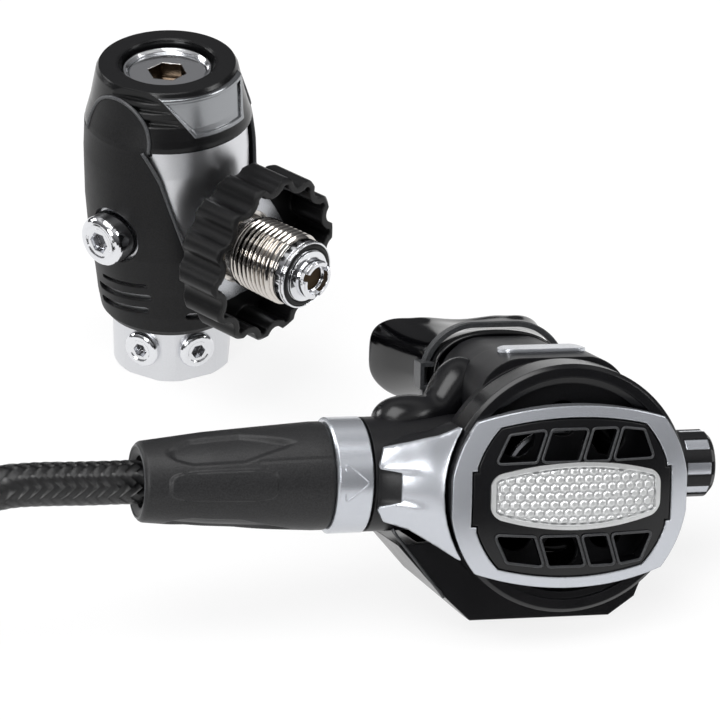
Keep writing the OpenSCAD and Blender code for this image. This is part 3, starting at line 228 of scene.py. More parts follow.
def grained(tree, shader, colour, height, tones, edge, strength, depth):
    """Colour tinted by a grain, which also gets relief over the piece's softened edges."""
    low, high, dark, pale = tones
    tint = add_node(tree, "MapRange", {0: height, 1: low, 2: high, 3: dark, 4: pale})
    toned = add_node(tree, "Mix", {0: 1.0, 6: srgb(colour), 7: tint.outputs[0]},
                     data_type="RGBA", blend_type="MULTIPLY")
    soft = add_node(tree, "Bevel", {"Radius": edge}, samples=4)
    bump = add_node(tree, "Bump", {"Strength": strength, "Distance": depth, "Height": height,
                                   "Normal": soft.outputs[0]})
    tree.links.new(bump.outputs[0], shader.inputs["Normal"])
    return toned.outputs[2]


def painted_hollow_shade(tree, colour, shade_colour, reach, dark, clear, samples):
    """Painted shade: colour that turns to a darker one in the hollows of its piece, felt within a reach.
    """
    depth = add_node(tree, "AmbientOcclusion", {"Distance": reach}, samples=samples, only_local=True)
    depth = add_node(tree, "MapRange", {0: depth.outputs["AO"], 1: dark, 2: clear, 3: 0.0, 4: 1.0})
    toned = add_node(tree, "Mix", {0: depth.outputs[0], 6: srgb(shade_colour), 7: colour}, data_type="RGBA")
    return toned.outputs[2]


def plated(name, colour, roughness, ripple, edge, shade_colour="#2A1E15"):
    """Plated or turned metal: a dulled mirror with a faint ripple, broken edges and painted shade in its
    hollows.
    """
    material, tree, shader = new_material(name)
    where = add_node(tree, "TexCoord").outputs["Object"]
    cloud = add_node(tree, "TexNoise", {"Vector": where, "Scale": 260, "Detail": 3})
    fine = add_node(tree, "TexNoise", {"Vector": where, "Scale": 1 / grain_seen, "Detail": 1})
    worn = add_node(tree, "MapRange", {0: cloud.outputs[0], 1: 0.3, 2: 0.7, 3: roughness * 0.96,
                                       4: roughness * 1.04})
    toned = grained(tree, shader, colour, fine.outputs[0], (0.3, 0.7, 0.97, 1.0), edge, 0.3, ripple)
    # Painted shade: the hollows turn dark brown by default.
    toned = painted_hollow_shade(tree, toned, shade_colour, 0.002, 0.2, 0.7, 4)
    tree.links.new(toned, shader.inputs["Base Color"])
    tree.links.new(worn.outputs[0], shader.inputs["Roughness"])
    shader.inputs["Metallic"].default_value = 1.0
    return material


def moulded(name, colour, roughness, depth, edge, specular=0.5):
    """Moulded polymer: an even colour, its mould's grain, slight gloss changes and soft edges."""
    material, tree, shader = new_material(name)
    where = add_node(tree, "TexCoord").outputs["Object"]
    pits = add_node(tree, "TexNoise", {"Vector": where, "Scale": 1 / grain_seen, "Detail": 2,
                                       "Roughness": 0.6})
    cloud = add_node(tree, "TexNoise", {"Vector": where, "Scale": 90, "Detail": 2})
    gloss = add_node(tree, "MapRange", {0: cloud.outputs[0], 1: 0.3, 2: 0.7, 3: roughness * 0.92,
                                        4: roughness * 1.08})
    toned = grained(tree, shader, colour, pits.outputs[0], (0.3, 0.7, 0.6, 1.55), edge, 0.5, depth)
    tree.links.new(toned, shader.inputs["Base Color"])
    tree.links.new(gloss.outputs[0], shader.inputs["Roughness"])
    shader.inputs["Specular IOR Level"].default_value = specular
    return material


def lacquered(name, colour, roughness, edge):
    """Silver lacquer: fine metal flakes under a satin clear coat, greyed by painted shade in its
    hollows.
    """
    material, tree, shader = new_material(name)
    where = add_node(tree, "TexCoord").outputs["Object"]
    flakes = add_node(tree, "TexVoronoi", {"Vector": where, "Scale": 1 / grain_seen})
    toned = grained(tree, shader, colour, flakes.outputs["Distance"], (0.0, 0.8, 0.96, 1.03), edge,
                    0.2, 0.00001)
    # Painted shade: the hollows turn grey.
    toned = painted_hollow_shade(tree, toned, "#6E7073", 0.0011, 0.45, 0.92, 6)
    tree.links.new(toned, shader.inputs["Base Color"])
    shader.inputs["Metallic"].default_value = 0.8
    shader.inputs["Roughness"].default_value = roughness
    shader.inputs["Coat Weight"].default_value = 0.25
    shader.inputs["Coat Roughness"].default_value = 0.2
    return material


def dress(finish, *names):
    """Gives a finish to all the material slots of these nodes."""
    for name in names:
        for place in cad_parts[name].material_slots:
            place.material = finish


def finish_piece(piece, finish, body):
    """Gives a new piece its material, body and slot."""
    piece.data.materials.append(finish)
    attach(piece, body)
    return piece


# ---- Studio ----
# A white paper sweep under soft boxes. The paper is seen and mirrored as white and keeps a
# faint shadow, and the room above it is grey with a bright ceiling, which chrome needs.
paper_glow = 0.82
paper_reach = 6
room_top = 0.9
paper = bpy.data.materials.new("white_paper_sweep")
paper.use_nodes = True
tree = paper.node_tree
tree.nodes.clear()
rays = add_node(tree, "LightPath")
seen = add_node(tree, "Math", {0: rays.outputs["Is Camera Ray"], 1: rays.outputs["Is Glossy Ray"]},
                operation="MAXIMUM")
seen = add_node(tree, "Math", {0: seen.outputs[0], 1: rays.outputs["Is Transmission Ray"]},
                operation="MAXIMUM")
seen = add_node(tree, "Math", {0: seen.outputs[0], 1: paper_glow}, operation="MULTIPLY")
matt = add_node(tree, "BsdfDiffuse", {"Color": srgb("#F4F4F4")})
glow = add_node(tree, "Emission", {"Color": (1, 1, 1, 1), "Strength": 1.0})
mixed = add_node(tree, "MixShader", {0: seen.outputs[0], 1: matt.outputs[0], 2: glow.outputs[0]})
add_node(tree, "OutputMaterial", {"Surface": mixed.outputs[0]})
paper_corners = [(paper_reach * x, paper_reach * y, 0) for x, y in ((-1, -1), (1, -1), (1, 1), (-1, 1))]
floor = add_piece("floor", paper_corners, [(0, 1, 2, 3)], smooth=False)
floor.data.materials.append(paper)

world = bpy.data.worlds.new("studio_room")
bpy.context.scene.world = world
world.use_nodes = True
tree = world.node_tree
tree.nodes.clear()
rays = add_node(tree, "LightPath")
where = add_node(tree, "TexCoord")
parts = add_node(tree, "SeparateXYZ", {0: where.outputs["Generated"]})
height = add_node(tree, "MapRange", {0: parts.outputs["Z"], 1: 0.0, 2: room_top, 3: 0.0, 4: 1.0})
room = add_node(tree, "ValToRGB", {0: height.outputs[0]})
room.color_ramp.elements[0].color = (0.06, 0.06, 0.065, 1)
room.color_ramp.elements[1].color = (0.3, 0.3, 0.31, 1)
room.color_ramp.elements.new(0.62).color = (0.34, 0.34, 0.35, 1)
room.color_ramp.elements.new(0.84).color = (1, 1, 1, 1)
lit = add_node(tree, "Background", {"Color": room.outputs[0], "Strength": 0.75})
white = add_node(tree, "Background", {"Color": (1, 1, 1, 1), "Strength": 1.0})
seen = add_node(tree, "Math", {0: rays.outputs["Is Camera Ray"], 1: rays.outputs["Is Transmission Ray"]},
                operation="MAXIMUM")
mixed = add_node(tree, "MixShader", {0: seen.outputs[0], 1: lit.outputs[0], 2: white.outputs[0]})
add_node(tree, "OutputWorld", {"Surface": mixed.outputs[0]})

for name, place, size, power in [
    ("overhead_box", (-0.25, -0.1, 1.2), 0.9, 12),
    ("left_box", (-1.25, -0.35, 0.65), 0.5, 9),
    ("right_box", (0.75, -1.05, 0.75), 0.5, 5),
    ("back_box", (-0.45, 1.25, 0.6), 0.5, 6),
]:
    light = bpy.data.lights.new(name, "AREA")
    light.size = size
    light.energy = power
    lamp = bpy.data.objects.new(name, light)
    bpy.context.collection.objects.link(lamp)
    lamp.location = place
    lamp.rotation_euler = (view_target - Vector(place)).to_track_quat("-Z", "Y").to_euler()

# ---- Hose ----
# Low-pressure hose: rubber tube under a tight black nylon braid, 12.5 mm thick. It rises
# out of the sleeve, arches down to the floor and lies in a loose coil up to its fitting.
hose_radius = 0.00625
hose_sides = 56
line_spacing = 0.001
inlet_y, inlet_z = 26, 1
hose_points = [in_stage2(x, inlet_y, inlet_z) for x in (-100, -112.5, -118.3, -130.3)] + [
    Vector(p) / 1000 for p in (
        (-144, -82, 53), (-151, -76.7, 51.6), (-160, -69.5, 46.6), (-169, -61.5, 39.2),
        (-177.5, -53, 32), (-184, -46, 27.2), (-191, -39, 23.8), (-198, -31.6, 21),
        (-205, -24.3, 18.6), (-212, -17, 16.2), (-219, -9.4, 13.4), (-225.5, -1.6, 10.6),
        (-230.6, 7.8, 8),
    )
]
coil_radius = 0.058
coil_growth = 0.019
points_per_turn = 24
coil_steps = 28
coil_start = Vector((-0.2355, 0.0315, hose_radius))
coil_heading = math.radians(97)
braid_yarns = 12
braid_relief = 0.00035
yarn_width = math.tau * hose_radius / braid_yarns
filaments_seen = 6


def heading(angle):
    """Unit vector along the floor at an angle from the x axis."""
    return Vector((math.cos(angle), math.sin(angle), 0))


def coil_point(turned):
    """Point of the coil's centre line after an angle turned, its radius growing with the angle."""
    radius = coil_radius + coil_growth * turned / math.tau
    return coil_centre + radius * heading(coil_heading + math.pi / 2 - turned)


def smooth_line(points, spacing, steps=20):
    """Points at even spacing on one smooth curve through the given points."""
    fine = []
    for i in range(len(points) - 1):
        before = points[max(i - 1, 0)]
        start, end = points[i], points[i + 1]
        after = points[min(i + 2, len(points) - 1)]
        reach = (end - start).length
        out = (end - before).normalized() * reach
        arrive = (after - start).normalized() * reach
        for k in range(steps):
            t = k / steps
            fine.append(
                start * (2 * t**3 - 3 * t**2 + 1) + out * (t**3 - 2 * t**2 + t)
                + end * (3 * t**2 - 2 * t**3) + arrive * (t**3 - t**2)
            )
    fine.append(points[-1])
    total = sum((b - a).length for a, b in zip(fine, fine[1:]))
    count = round(total / spacing)
    even, walked, i = [fine[0]], 0.0, 0
    for n in range(1, count + 1):
        goal = total * n / count
        while i < len(fine) - 2 and walked + (fine[i + 1] - fine[i]).length < goal:
            walked += (fine[i + 1] - fine[i]).length
            i += 1
        step = (fine[i + 1] - fine[i]).length
        even.append(fine[i].lerp(fine[i + 1], min((goal - walked) / step, 1)))
    return even


def braid_height(around, along):
    """Height of the braid, 0 to 1, where flat yarns pass over two and under two others."""
    p = (around + along) / yarn_width
    q = (around - along) / yarn_width
    on_top = p if (math.floor(p) + math.floor(q)) % 4 < 2 else q
    across = on_top - math.floor(on_top)
    return 1 - (2 * across - 1) ** 2


def braided_tube(name, line, radius, sides, relief):
    """Tube along a line with the braid's relief in its skin, and UVs in metres."""
    verts, walked = [], [0.0]
    side = (line[1] - line[0]).normalized().cross(Vector((0, 0, 1))).normalized()
    for i, point in enumerate(line):
        if i:
            walked.append(walked[-1] + (point - line[i - 1]).length)
        ahead = (line[min(i + 1, len(line) - 1)] - line[max(i - 1, 0)]).normalized()
        side = (side - ahead * side.dot(ahead)).normalized()
        above = side.cross(ahead)
        for k, (c, s) in enumerate(round_points(1, sides)):
            reach = radius - relief * (1 - braid_height(math.tau * k / sides * radius, walked[i]))
            verts.append(point + reach * (c * side + s * above))
    piece = add_piece(name, verts, quads_between(len(line), sides))
    layer = piece.data.uv_layers.new(name="metres")
    for polygon in piece.data.polygons:
        i, k = divmod(polygon.index, sides)
        u0, u1 = math.tau * k / sides * radius, math.tau * (k + 1) / sides * radius
        v0, v1 = walked[i], walked[i + 1]
        for loop, corner in zip(polygon.loop_indices, ((u0, v0), (u1, v0), (u1, v1), (u0, v1))):
            layer.data[loop].uv = corner
    return piece


coil_centre = coil_start + coil_radius * heading(coil_heading - math.pi / 2)
coil_points = [coil_point(math.tau * i / points_per_turn) for i in range(coil_steps + 1)]
leave_angle = coil_heading - math.tau * coil_steps / points_per_turn
hose_end = coil_points[-1] + 2 * hose_radius * heading(leave_angle)
before_coil = coil_start - 2 * hose_radius * heading(coil_heading)
hose_line = smooth_line(hose_points + [before_coil] + coil_points + [hose_end], line_spacing)

# Braided nylon: flat black yarn bundles that shine along their crowns, each painted darker towards its
# edges as shade between the yarns.
braid, tree, shader = new_material("braided_nylon")
uv = add_node(tree, "UVMap", uv_map="metres")
parts = add_node(tree, "SeparateXYZ", {0: uv.outputs[0]})
yarns, cells = [], []
for operation in ("ADD", "SUBTRACT"):
    yarn = add_node(tree, "Math", {0: parts.outputs["X"], 1: parts.outputs["Y"]}, operation=operation)
    yarn = add_node(tree, "Math", {0: yarn.outputs[0], 1: yarn_width}, operation="DIVIDE")
    yarns.append(yarn.outputs[0])
    cells.append(add_node(tree, "Math", {0: yarn.outputs[0]}, operation="FLOOR").outputs[0])
cells = add_node(tree, "Math", {0: cells[0], 1: cells[1]}, operation="ADD")
cells = add_node(tree, "Math", {0: cells.outputs[0], 1: 4}, operation="FLOORED_MODULO")
is_left = add_node(tree, "Math", {0: cells.outputs[0], 1: 1.5}, operation="LESS_THAN")
over = add_node(tree, "Mix", {0: is_left.outputs[0], 2: yarns[1], 3: yarns[0]})
across = add_node(tree, "Math", {0: over.outputs[0]}, operation="FRACT")
centred = add_node(tree, "Math", {0: across.outputs[0], 1: 0.5}, operation="SUBTRACT")
squared = add_node(tree, "Math", {0: centred.outputs[0], 1: centred.outputs[0]}, operation="MULTIPLY")
crown = add_node(tree, "Math", {0: squared.outputs[0], 1: -4.0, 2: 1.0}, operation="MULTIPLY_ADD")
strands = add_node(tree, "Math", {0: across.outputs[0], 1: filaments_seen * math.tau},
                   operation="MULTIPLY")
strands = add_node(tree, "Math", {0: strands.outputs[0]}, operation="SINE")
relief = add_node(tree, "Math", {0: strands.outputs[0], 1: 0.06, 2: crown.outputs[0]},
                  operation="MULTIPLY_ADD")
bump = add_node(tree, "Bump", {"Strength": 0.9, "Distance": 0.0005, "Height": relief.outputs[0]})
# Colour from each yarn's crown to its edges: painted shade between the yarns.
shade = add_node(tree, "ValToRGB", {0: crown.outputs[0]})
shade.color_ramp.elements[0].color = srgb("#020202")
shade.color_ramp.elements[1].color = srgb("#101011")
tree.links.new(shade.outputs[0], shader.inputs["Base Color"])
tree.links.new(bump.outputs[0], shader.inputs["Normal"])
shader.inputs["Roughness"].default_value = 0.27
hose = braided_tube("braided_hose", hose_line, hose_radius, hose_sides, braid_relief)
hose.data.materials.append(braid)
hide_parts("hose_run", "hose_coil")
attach(hose, "first_stage")

# ---- First stage: pressure body ----
# Forged and turned brass body with its port turret, plated in pearl chrome. The round
# stem is turned, and the turret has a milled flat for each low-pressure port.
# Pearl chrome: blasted before plating, so that it glows in soft gradients, not sharp mirrors.
pearl_chrome = plated("pearl_chrome_plating", "#DADBDE", 0.32, 0.000006, 0.0003)
# Polished chrome: a clear mirror with bright, black and white bands.
polished_chrome = plated("polished_chrome_plating", "#E4E5E8", 0.07, 0.000002, 0.0004)
dress(pearl_chrome, "pressure_body")

# ---- First stage: shroud ----
# Rubber-armoured sleeve over the body, moulded in hard TPU with a fine spark-eroded grain.
# It laps the cap with two ears, and a raised lip runs round its front opening.
shroud_profile = [(25, 22.8), (33, 23.5), (46, 25.2), (58, 25.9), (74, 25.9), (83.3, 25.4)]
cap_profile = [(83.5, 25.3), (85, 25.0), (87, 24.4), (91, 23.3), (97.5, 22.0), (99.9, 21.5),
               (101.5, 20.6)]
opening_side = [(22.5, 83.5), (21.4, 79.5), (19.8, 73.5), (18.4, 66.5), (16.6, 58.5), (14.4, 50.5),
                (11.0, 42.5)]
seam_height = 83.5
lip_radius = 0.00055
lip_steps = 6
lip_sink = 0.1
lip_offset = 0.25
ear_half_width = 12.4
ear_height = 14.2
ear_angle = 88
ear_steps = 48
ear_lip_radius = 0.0006


def opening_lip(side):
    """Points of the lip along one side of the shroud's front opening."""
    lip = []
    for (w0, z0), (w1, z1) in zip(opening_side, opening_side[1:]):
        for k in range(lip_steps):
            w, z = w0 + (w1 - w0) * k / lip_steps, z0 + (z1 - z0) * k / lip_steps
            r = radius_at(shroud_profile, z) - lip_sink
            lip.append(on_first_stage(side * (w + lip_offset), -math.sqrt(r * r - w * w), z))
    return lip


def ear_edge(side):
    """Points of the round edge of one ear, which lies on the cap."""
    edge = []
    around = math.radians(side * ear_angle)
    for k in range(ear_steps + 1):
        angle = math.pi * k / ear_steps
        u, z = ear_half_width * math.cos(angle), seam_height + ear_height * math.sin(angle)
        r = radius_at(cap_profile, z) + lip_sink
        w = math.sqrt(r * r - u * u)
        edge.append(on_first_stage(math.cos(around) * u + math.sin(around) * w,
                                   math.sin(around) * u - math.cos(around) * w, z))
    return edge


# Grained TPU: matt black that still shows a soft grey sheen where it faces the light.
grained_tpu = moulded("grained_black_tpu", "#121213", 0.46, 0.00008, 0.0005, 0.2)
dress(grained_tpu, "shroud")
# Lip TPU: the lips' crests, greyer than the sleeve's flat sides: a painted highlight along the lips.
lip_highlight_tpu = moulded("tpu_lip_painted_highlight", "#3A3B3D", 0.4, 0.00006, 0.0002)
for side, hand in ((-1, "left"), (1, "right")):
    finish_piece(bead("shroud_lip_" + hand, opening_lip(side), lip_radius), lip_highlight_tpu,
                 "first_stage")
    finish_piece(bead("ear_lip_" + hand, ear_edge(side), ear_lip_radius), lip_highlight_tpu,
                 "first_stage")

# ---- First stage: cap and adjuster ----
# Nylon cap screwed on the spring chamber, with a bevelled plate on its front. A chrome ring
# and the hexagon-socket adjuster stand in its top.
cap_hole_r = 14.95
cap_hole_z = 101.05
cap_rim_radius = 0.0004
drill_point = 1.2
# Satin nylon: black with soft bright lines along its edges.
satin_nylon = moulded("satin_black_nylon", "#09090A", 0.22, 0.00002, 0.0008, 0.34)
# Smoked polished plate: mid grey with a clear reflection, and painted shade that turns its hollows
# black.
smoked_plate = plated("smoked_polished_plate", "#9A9C9F", 0.2, 0.000003, 0.0005, "#101012")
dress(satin_nylon, "top_cap")
dress(smoked_plate, "cap_plate")
# Faced chrome: the flat tops are turned, so they mirror as an even grey.
faced_chrome = plated("faced_chrome", "#DCDDDF", 0.14, 0.000004, 0.0005)
dress(faced_chrome, "spring_retainer", "pressure_adjuster")
# Socket lining: dark brown metal laid inside the socket as its painted shade and painted warm
# reflection.
socket_shade_lining = plated("socket_painted_shade_and_reflection", "#54483C", 0.25, 0.00001, 0.0002)
hole_rim = [on_first_stage(x, y, cap_hole_z) for x, y in round_points(cap_hole_r, 96)]
finish_piece(bead("cap_hole_rim", hole_rim, cap_rim_radius, closed=True), satin_nylon, "first_stage")


def socket_skin(name, flats, top, floor, chamfer):
    """Lining of a hexagon socket: six walls, a drilled floor and a chamfer round its mouth."""
    corner = flats / math.sqrt(3)
    verts, faces = [], []
    for radius, depth in ((corner + chamfer, top), (corner, top - chamfer), (corner, floor)):
        verts += [on_first_stage(x, y, depth) for x, y in round_points(radius, 6)]
    for a in (0, 6):
        faces += [(a + k, a + 6 + k, a + 6 + (k + 1) % 6, a + (k + 1) % 6) for k in range(6)]
    verts.append(on_first_stage(0, 0, floor - drill_point))
    faces += [(12 + k, 18, 12 + (k + 1) % 6) for k in range(6)]
    return add_piece(name, verts, faces, smooth=False)


# This lining paints the socket's shade and warm reflection in dark brown.
socket = socket_skin("adjuster_socket", flats=10.3, top=98.22, floor=93.9, chamfer=0.12)
finish_piece(socket, socket_shade_lining, "first_stage")

# ---- First stage: spring, diaphragm and inlet valve ----
# The main spring presses its pad on the diaphragm. The diaphragm's rim is clamped, and its
# centre moves with the valve, so the two are separate skins. Its hub clears the chamber.
# Drawn spring steel: grey wire with a dull shine.
spring_wire = plated("drawn_spring_steel", "#9CA1A8", 0.32, 0.00001, 0.0001)
# Turned stainless steel: even grey with soft streaks.
turned_steel = plated("turned_stainless_steel", "#C2C4C8", 0.24, 0.000008, 0.0002)
# Turned brass: warm yellow metal.
turned_brass = plated("turned_brass", "#B9934F", 0.28, 0.000008, 0.0002)
# Acetal: white waxy plastic of the valve pins.
white_acetal = moulded("white_acetal", "#DEDDD8", 0.4, 0.00001, 0.0002)
# Nitrile rubber: black, smooth and dull.
nitrile = moulded("black_nitrile_rubber", "#0C0C0D", 0.42, 0.00001, 0.0002, 0.25)
dress(spring_wire, "main_spring", "inlet_spring")
dress(turned_brass, "spring_pad", "balance_plug")
dress(turned_steel, "thrust_pin")
dress(white_acetal, "inlet_poppet")
sheet_skin, sheet_bevel = 0.05, 0.25
sheet_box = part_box("main_diaphragm")
low, high = sheet_box[0][2] * 1000 + sheet_skin, sheet_box[1][2] * 1000 - sheet_skin
outer, inner = sheet_box[1][0] * 1000 - sheet_skin, 12.75
hub_r, disc_r, valve_room = 10.5, 12.6, 0.7
flexing_sheet = turned_skin("main_diaphragm_sheet", [
    (inner, low + sheet_skin), (inner + sheet_bevel, low), (outer - sheet_bevel, low),
    (outer, low + sheet_bevel), (outer, high - sheet_bevel), (outer - sheet_bevel, high),
    (inner + sheet_bevel, high), (inner, high - sheet_skin), (inner, low + sheet_skin),
], on_first_stage)
finish_piece(flexing_sheet, nitrile, "first_stage")
sheet_centre = turned_skin("main_diaphragm_centre", [
    (0, low), (hub_r, low), (hub_r + 0.3, low + valve_room), (disc_r, low + valve_room + 0.1),
    (disc_r, high - 0.45), (disc_r - 0.3, high - sheet_bevel), (0, high - sheet_bevel),
], on_first_stage)
finish_piece(sheet_centre, nitrile, "inlet_valve")
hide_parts("main_diaphragm")

# ---- First stage: port plugs ----
# Screwed plugs with a rounded edge, a shallow dish and a small socket, polished and
# chromed. Each seals on an O-ring under its head.
dress(polished_chrome, "lp_plugs", "gauge_plugs")
dress(nitrile, "plug_o_rings")

# ---- DIN connector ----
# Threaded brass bolt in nickel plating that turns on the fixed nipple, with a fluted
# handwheel pressed on. The nipple seals on its face with an O-ring.
thread_pitch = 1.814
thread_radius = 11.43
thread_depth = 1.16
thread_from = 35.0
thread_to = 53.0
thread_rows = 14
thread_flat = 0.1
thread_run_out = 1.6
din_height = 50


def on_din(x, y, depth):
    """Point of the DIN connector, with depth along its axis from the body's middle."""
    return Vector((x, -depth, din_height + y)) / 1000


def thread_reach(depth, turned):
    """Radius of the thread at a depth and a share of a turn, faded out towards its ends."""
    phase = (depth / thread_pitch - turned) % 1
    wall = clamped((1 - abs(2 * phase - 1) - thread_flat) / (1 - 2 * thread_flat))
    run_in, run_out = (depth - thread_from) / thread_pitch, (thread_to - depth) / thread_pitch
    fade = clamped(min(run_in, run_out * thread_run_out))
    return thread_radius - thread_depth * (1 - wall * fade)


def threaded_skin(name, before, after, place, sides=96):
    """Turned skin with the screw thread, and with plain outlines before and after it."""
    count = round((thread_to - thread_from) / thread_pitch * thread_rows)
    cut = [(None, thread_from + (thread_to - thread_from) * i / count) for i in range(count + 1)]
    verts = []
    for radius, depth in before + cut + after:
        for k, (c, s) in enumerate(round_points(1, sides)):
            reach = radius or thread_reach(depth, k / sides)
            verts.append(place(reach * c, reach * s, depth))
    return add_piece(name, verts, quads_between(len(verts) // sides, sides), sharp=50)


# Nickel over brass: warm white crests and brown shadows between the turns.
nickel = plated("nickel_plated_brass", "#D2CDC7", 0.12, 0.000003, 0.0001)
# Thermoplastic rubber: matt black with broad soft highlights on the lobes.
grip_rubber = moulded("black_grip_rubber", "#0C0C0D", 0.36, 0.00002, 0.001, 0.25)
# Sintered bronze: dark brown and porous.
sintered = plated("sintered_bronze", "#4A3C2C", 0.6, 0.0001, 0.0001)
bolt = threaded_skin(
    "threaded_bolt", [(6.2, 27.9), (12.9, 27.9), (12.95, 28.1), (12.95, 30.95), (10.25, 31.05)],
    [(10.3, 53.2), (6.2, 53.4), (6.2, 27.95)], on_din)
finish_piece(bolt, nickel, "din_wheel")
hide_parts("din_bolt")
dress(grip_rubber, "handwheel")
dress(turned_steel, "hub_washer")
dress(polished_chrome, "din_nipple", "filter_retainer")
dress(nitrile, "din_o_ring")
dress(sintered, "inlet_filter")

# ---- Second stage: case ----
# Injection-moulded case in glass-filled nylon with its inlet barrel, adjuster barrel and
# neck in one piece. A fine grain covers it all, and it carries the valve tube across.
# Glass-filled nylon: dull black that turns grey where the light grazes its grain.
filled_nylon = moulded("glass_filled_nylon", "#101012", 0.38, 0.00004, 0.0005, 0.28)
dress(filled_nylon, "case", "diaphragm_guard", "adjust_knob")
# Semi-gloss nylon: the ring, button, tee and bypass, smoother than the case.
gloss_nylon = moulded("semi_gloss_black_nylon", "#08080A", 0.24, 0.00002, 0.0005, 0.4)
dress(gloss_nylon, "case_ring", "purge_button", "bypass_tube", "exhaust_tee")
dress(pearl_chrome, "valve_tube")
dress(turned_steel, "demand_lever", "diaphragm_plate")
dress(spring_wire, "purge_spring", "poppet_spring")
dress(white_acetal, "demand_poppet")
dress(turned_brass, "orifice", "adjust_spindle")

# ---- Second stage: silver trim ----
# Bezel, selector ring, knob insets and top badge, moulded in ABS and sprayed in a satin
# silver lacquer.
silver_lacquer = lacquered("satin_silver_lacquer", "#C2C5CB", 0.27, 0.0006)
dress(silver_lacquer, "bezel", "selector_ring", "knob_insets", "top_badge")

# ---- Second stage: purge plate ----
# Silver plate glued on the purge button: a plain rim round a field of raised hexagonal
# pads, which stand in staggered rows. It follows the button's dome.
front_dome = 110
front_reach = 9
plate_centre = (0.6, -0.7)
plate_half_w = 24.95
plate_half_h = 9.6
plate_arc_r = 82
plate_corner_r = 3
plate_rim = 1.3
plate_lift = 0.2
plate_skirt = 0.85
plate_columns, plate_rows = 210, 80
rim_flank = 0.3
pad_pitch = 2.8
pad_row = 2.35
pad_half = 1.16
pad_rise = 0.5
pad_flank = 0.38
field_margin = 0.55
field_fade = 0.25
column_ease = 0.92 * math.pi / 2


def dome_depth(x, z):
    """Depth of the second stage's domed front."""
    return front_dome - front_reach - math.sqrt(front_dome ** 2 - x * x - z * z)


def dome_point(x, z, lift):
    """Point of the domed front, lifted off it by some millimetres."""
    return in_stage2(x, dome_depth(x, z) - lift, z)


def plate_edge(x):
    """Half height of the plate at a distance from its middle."""
    arc = plate_half_h - plate_arc_r + math.sqrt(plate_arc_r ** 2 - x * x)
    inward = abs(x) - (plate_half_w - plate_corner_r)
    if inward <= 0:
        return arc
    return arc - plate_corner_r + math.sqrt(max(plate_corner_r ** 2 - inward ** 2, 0))


def pad_height(x, z, to_edge):
    """Height of the plate's relief: its rim, its sunken field and its pads."""
    if to_edge < plate_rim:
        return pad_rise
    row = round(z / pad_row)
    shift = pad_pitch / 2 if row % 2 else 0
    dx = x - shift - round((x - shift) / pad_pitch) * pad_pitch
    dz = z - row * pad_row
    reach = max(abs(dx), abs(dx) * 0.5 + abs(dz) * 0.866)
    fade = clamped((to_edge - plate_rim - field_margin) / field_fade)
    wall = clamped((plate_rim + rim_flank - to_edge) / rim_flank)
    return pad_rise * max(wall, eased((pad_half - reach) / pad_flank) * fade)


def plate_skin():
    """Skin of the plate as a grid of columns that follow its outline, with a skirt."""
    columns, rows = plate_columns, plate_rows
    verts, faces = [], []
    for i in range(columns + 1):
        x = plate_half_w * math.sin(column_ease * (2 * i / columns - 1)) / math.sin(column_ease)
        high = plate_edge(x)
        for k in range(rows + 1):
            z = high * (2 * k / rows - 1)
            to_edge = min(high - abs(z), plate_half_w - abs(x))
            lift = plate_lift + pad_height(x, z, to_edge)
            verts.append(dome_point(x + plate_centre[0], z + plate_centre[1], lift))
    for i in range(columns):
        for k in range(rows):
            a, b = i * (rows + 1) + k, (i + 1) * (rows + 1) + k
            faces.append((a, b, b + 1, a + 1))
    border = [i * (rows + 1) for i in range(columns + 1)]
    border += [columns * (rows + 1) + k for k in range(1, rows + 1)]
    border += [i * (rows + 1) + rows for i in range(columns - 1, -1, -1)]
    border += [k for k in range(rows - 1, 0, -1)]
    inward = in_stage2(0, plate_skirt, 0) - in_stage2(0, 0, 0)
    first = len(verts)
    verts += [verts[v] + inward for v in border]
    for i in range(len(border)):
        j = (i + 1) % len(border)
        faces.append((border[i], first + i, first + j, border[j]))
    return add_piece("purge_plate_skin", verts, faces, sharp=55)


# Pale silver lacquer: paler and duller than the bezel, so that its pads read by shadow, with painted
# shade greying the hollows between them.
pale_silver = lacquered("pale_silver_lacquer", "#DCDDDD", 0.4, 0.0001)
plate = finish_piece(plate_skin(), pale_silver, "purge")
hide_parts("purge_plate")

# ---- Second stage: slot rims of the purge button ----
# Raised lips moulded round the water slots, each a closed bead on the button's dome. The
# outermost slots follow the button's rounded ends.
slot_foot = 10.8
slot_height = 8.6
slot_side = 22.8
slot_middle = -1.5
bar_width = 1.8
bar_feet = [-slot_side - bar_width / 2, -11, 1.2, 10.2, slot_side + bar_width / 2 + 0.6]
bar_lean = 3.2
rim_radius = 0.00042
rim_lift = 0.12
rim_beyond = 0.25
rim_over_bar = 0.3
slot_corner_r = 1.2


def slot_corners(i):
    """Corners of a slot's rim in the upper row, from its left foot on, counted from the left."""
    low, high = slot_foot - rim_beyond, slot_foot + slot_height + rim_beyond
    left = bar_feet[i] + bar_width / 2 - rim_over_bar
    across = bar_feet[i + 1] - bar_width / 2 + rim_over_bar
    left_lean, left_drop, foot = (4, 1.4, 0.5) if i == 0 else (bar_lean, 0, 0)
    right_lean, right_drop = (-3, 1) if i == 3 else (bar_lean, 0)
    return [(left, low - foot), (across, low), (across + right_lean, high - right_drop),
            (left + left_lean, high - left_drop)]


# Edge nylon: a little greyer than the button, a painted highlight along rims and edges.
edge_highlight_nylon = moulded("nylon_edge_painted_highlight", "#2B2C2E", 0.36, 0.00002, 0.0002)
for row, up in (("upper", 1), ("lower", -1)):
    for i in range(4):
        points = [dome_point(p.x, slot_middle + up * p.y, rim_lift)
                  for p in rounded_loop(slot_corners(i), slot_corner_r)]
        rim = bead("slot_rim_%s_%d" % (row, i + 1), points, rim_radius, closed=True)
        finish_piece(rim, edge_highlight_nylon, "purge")

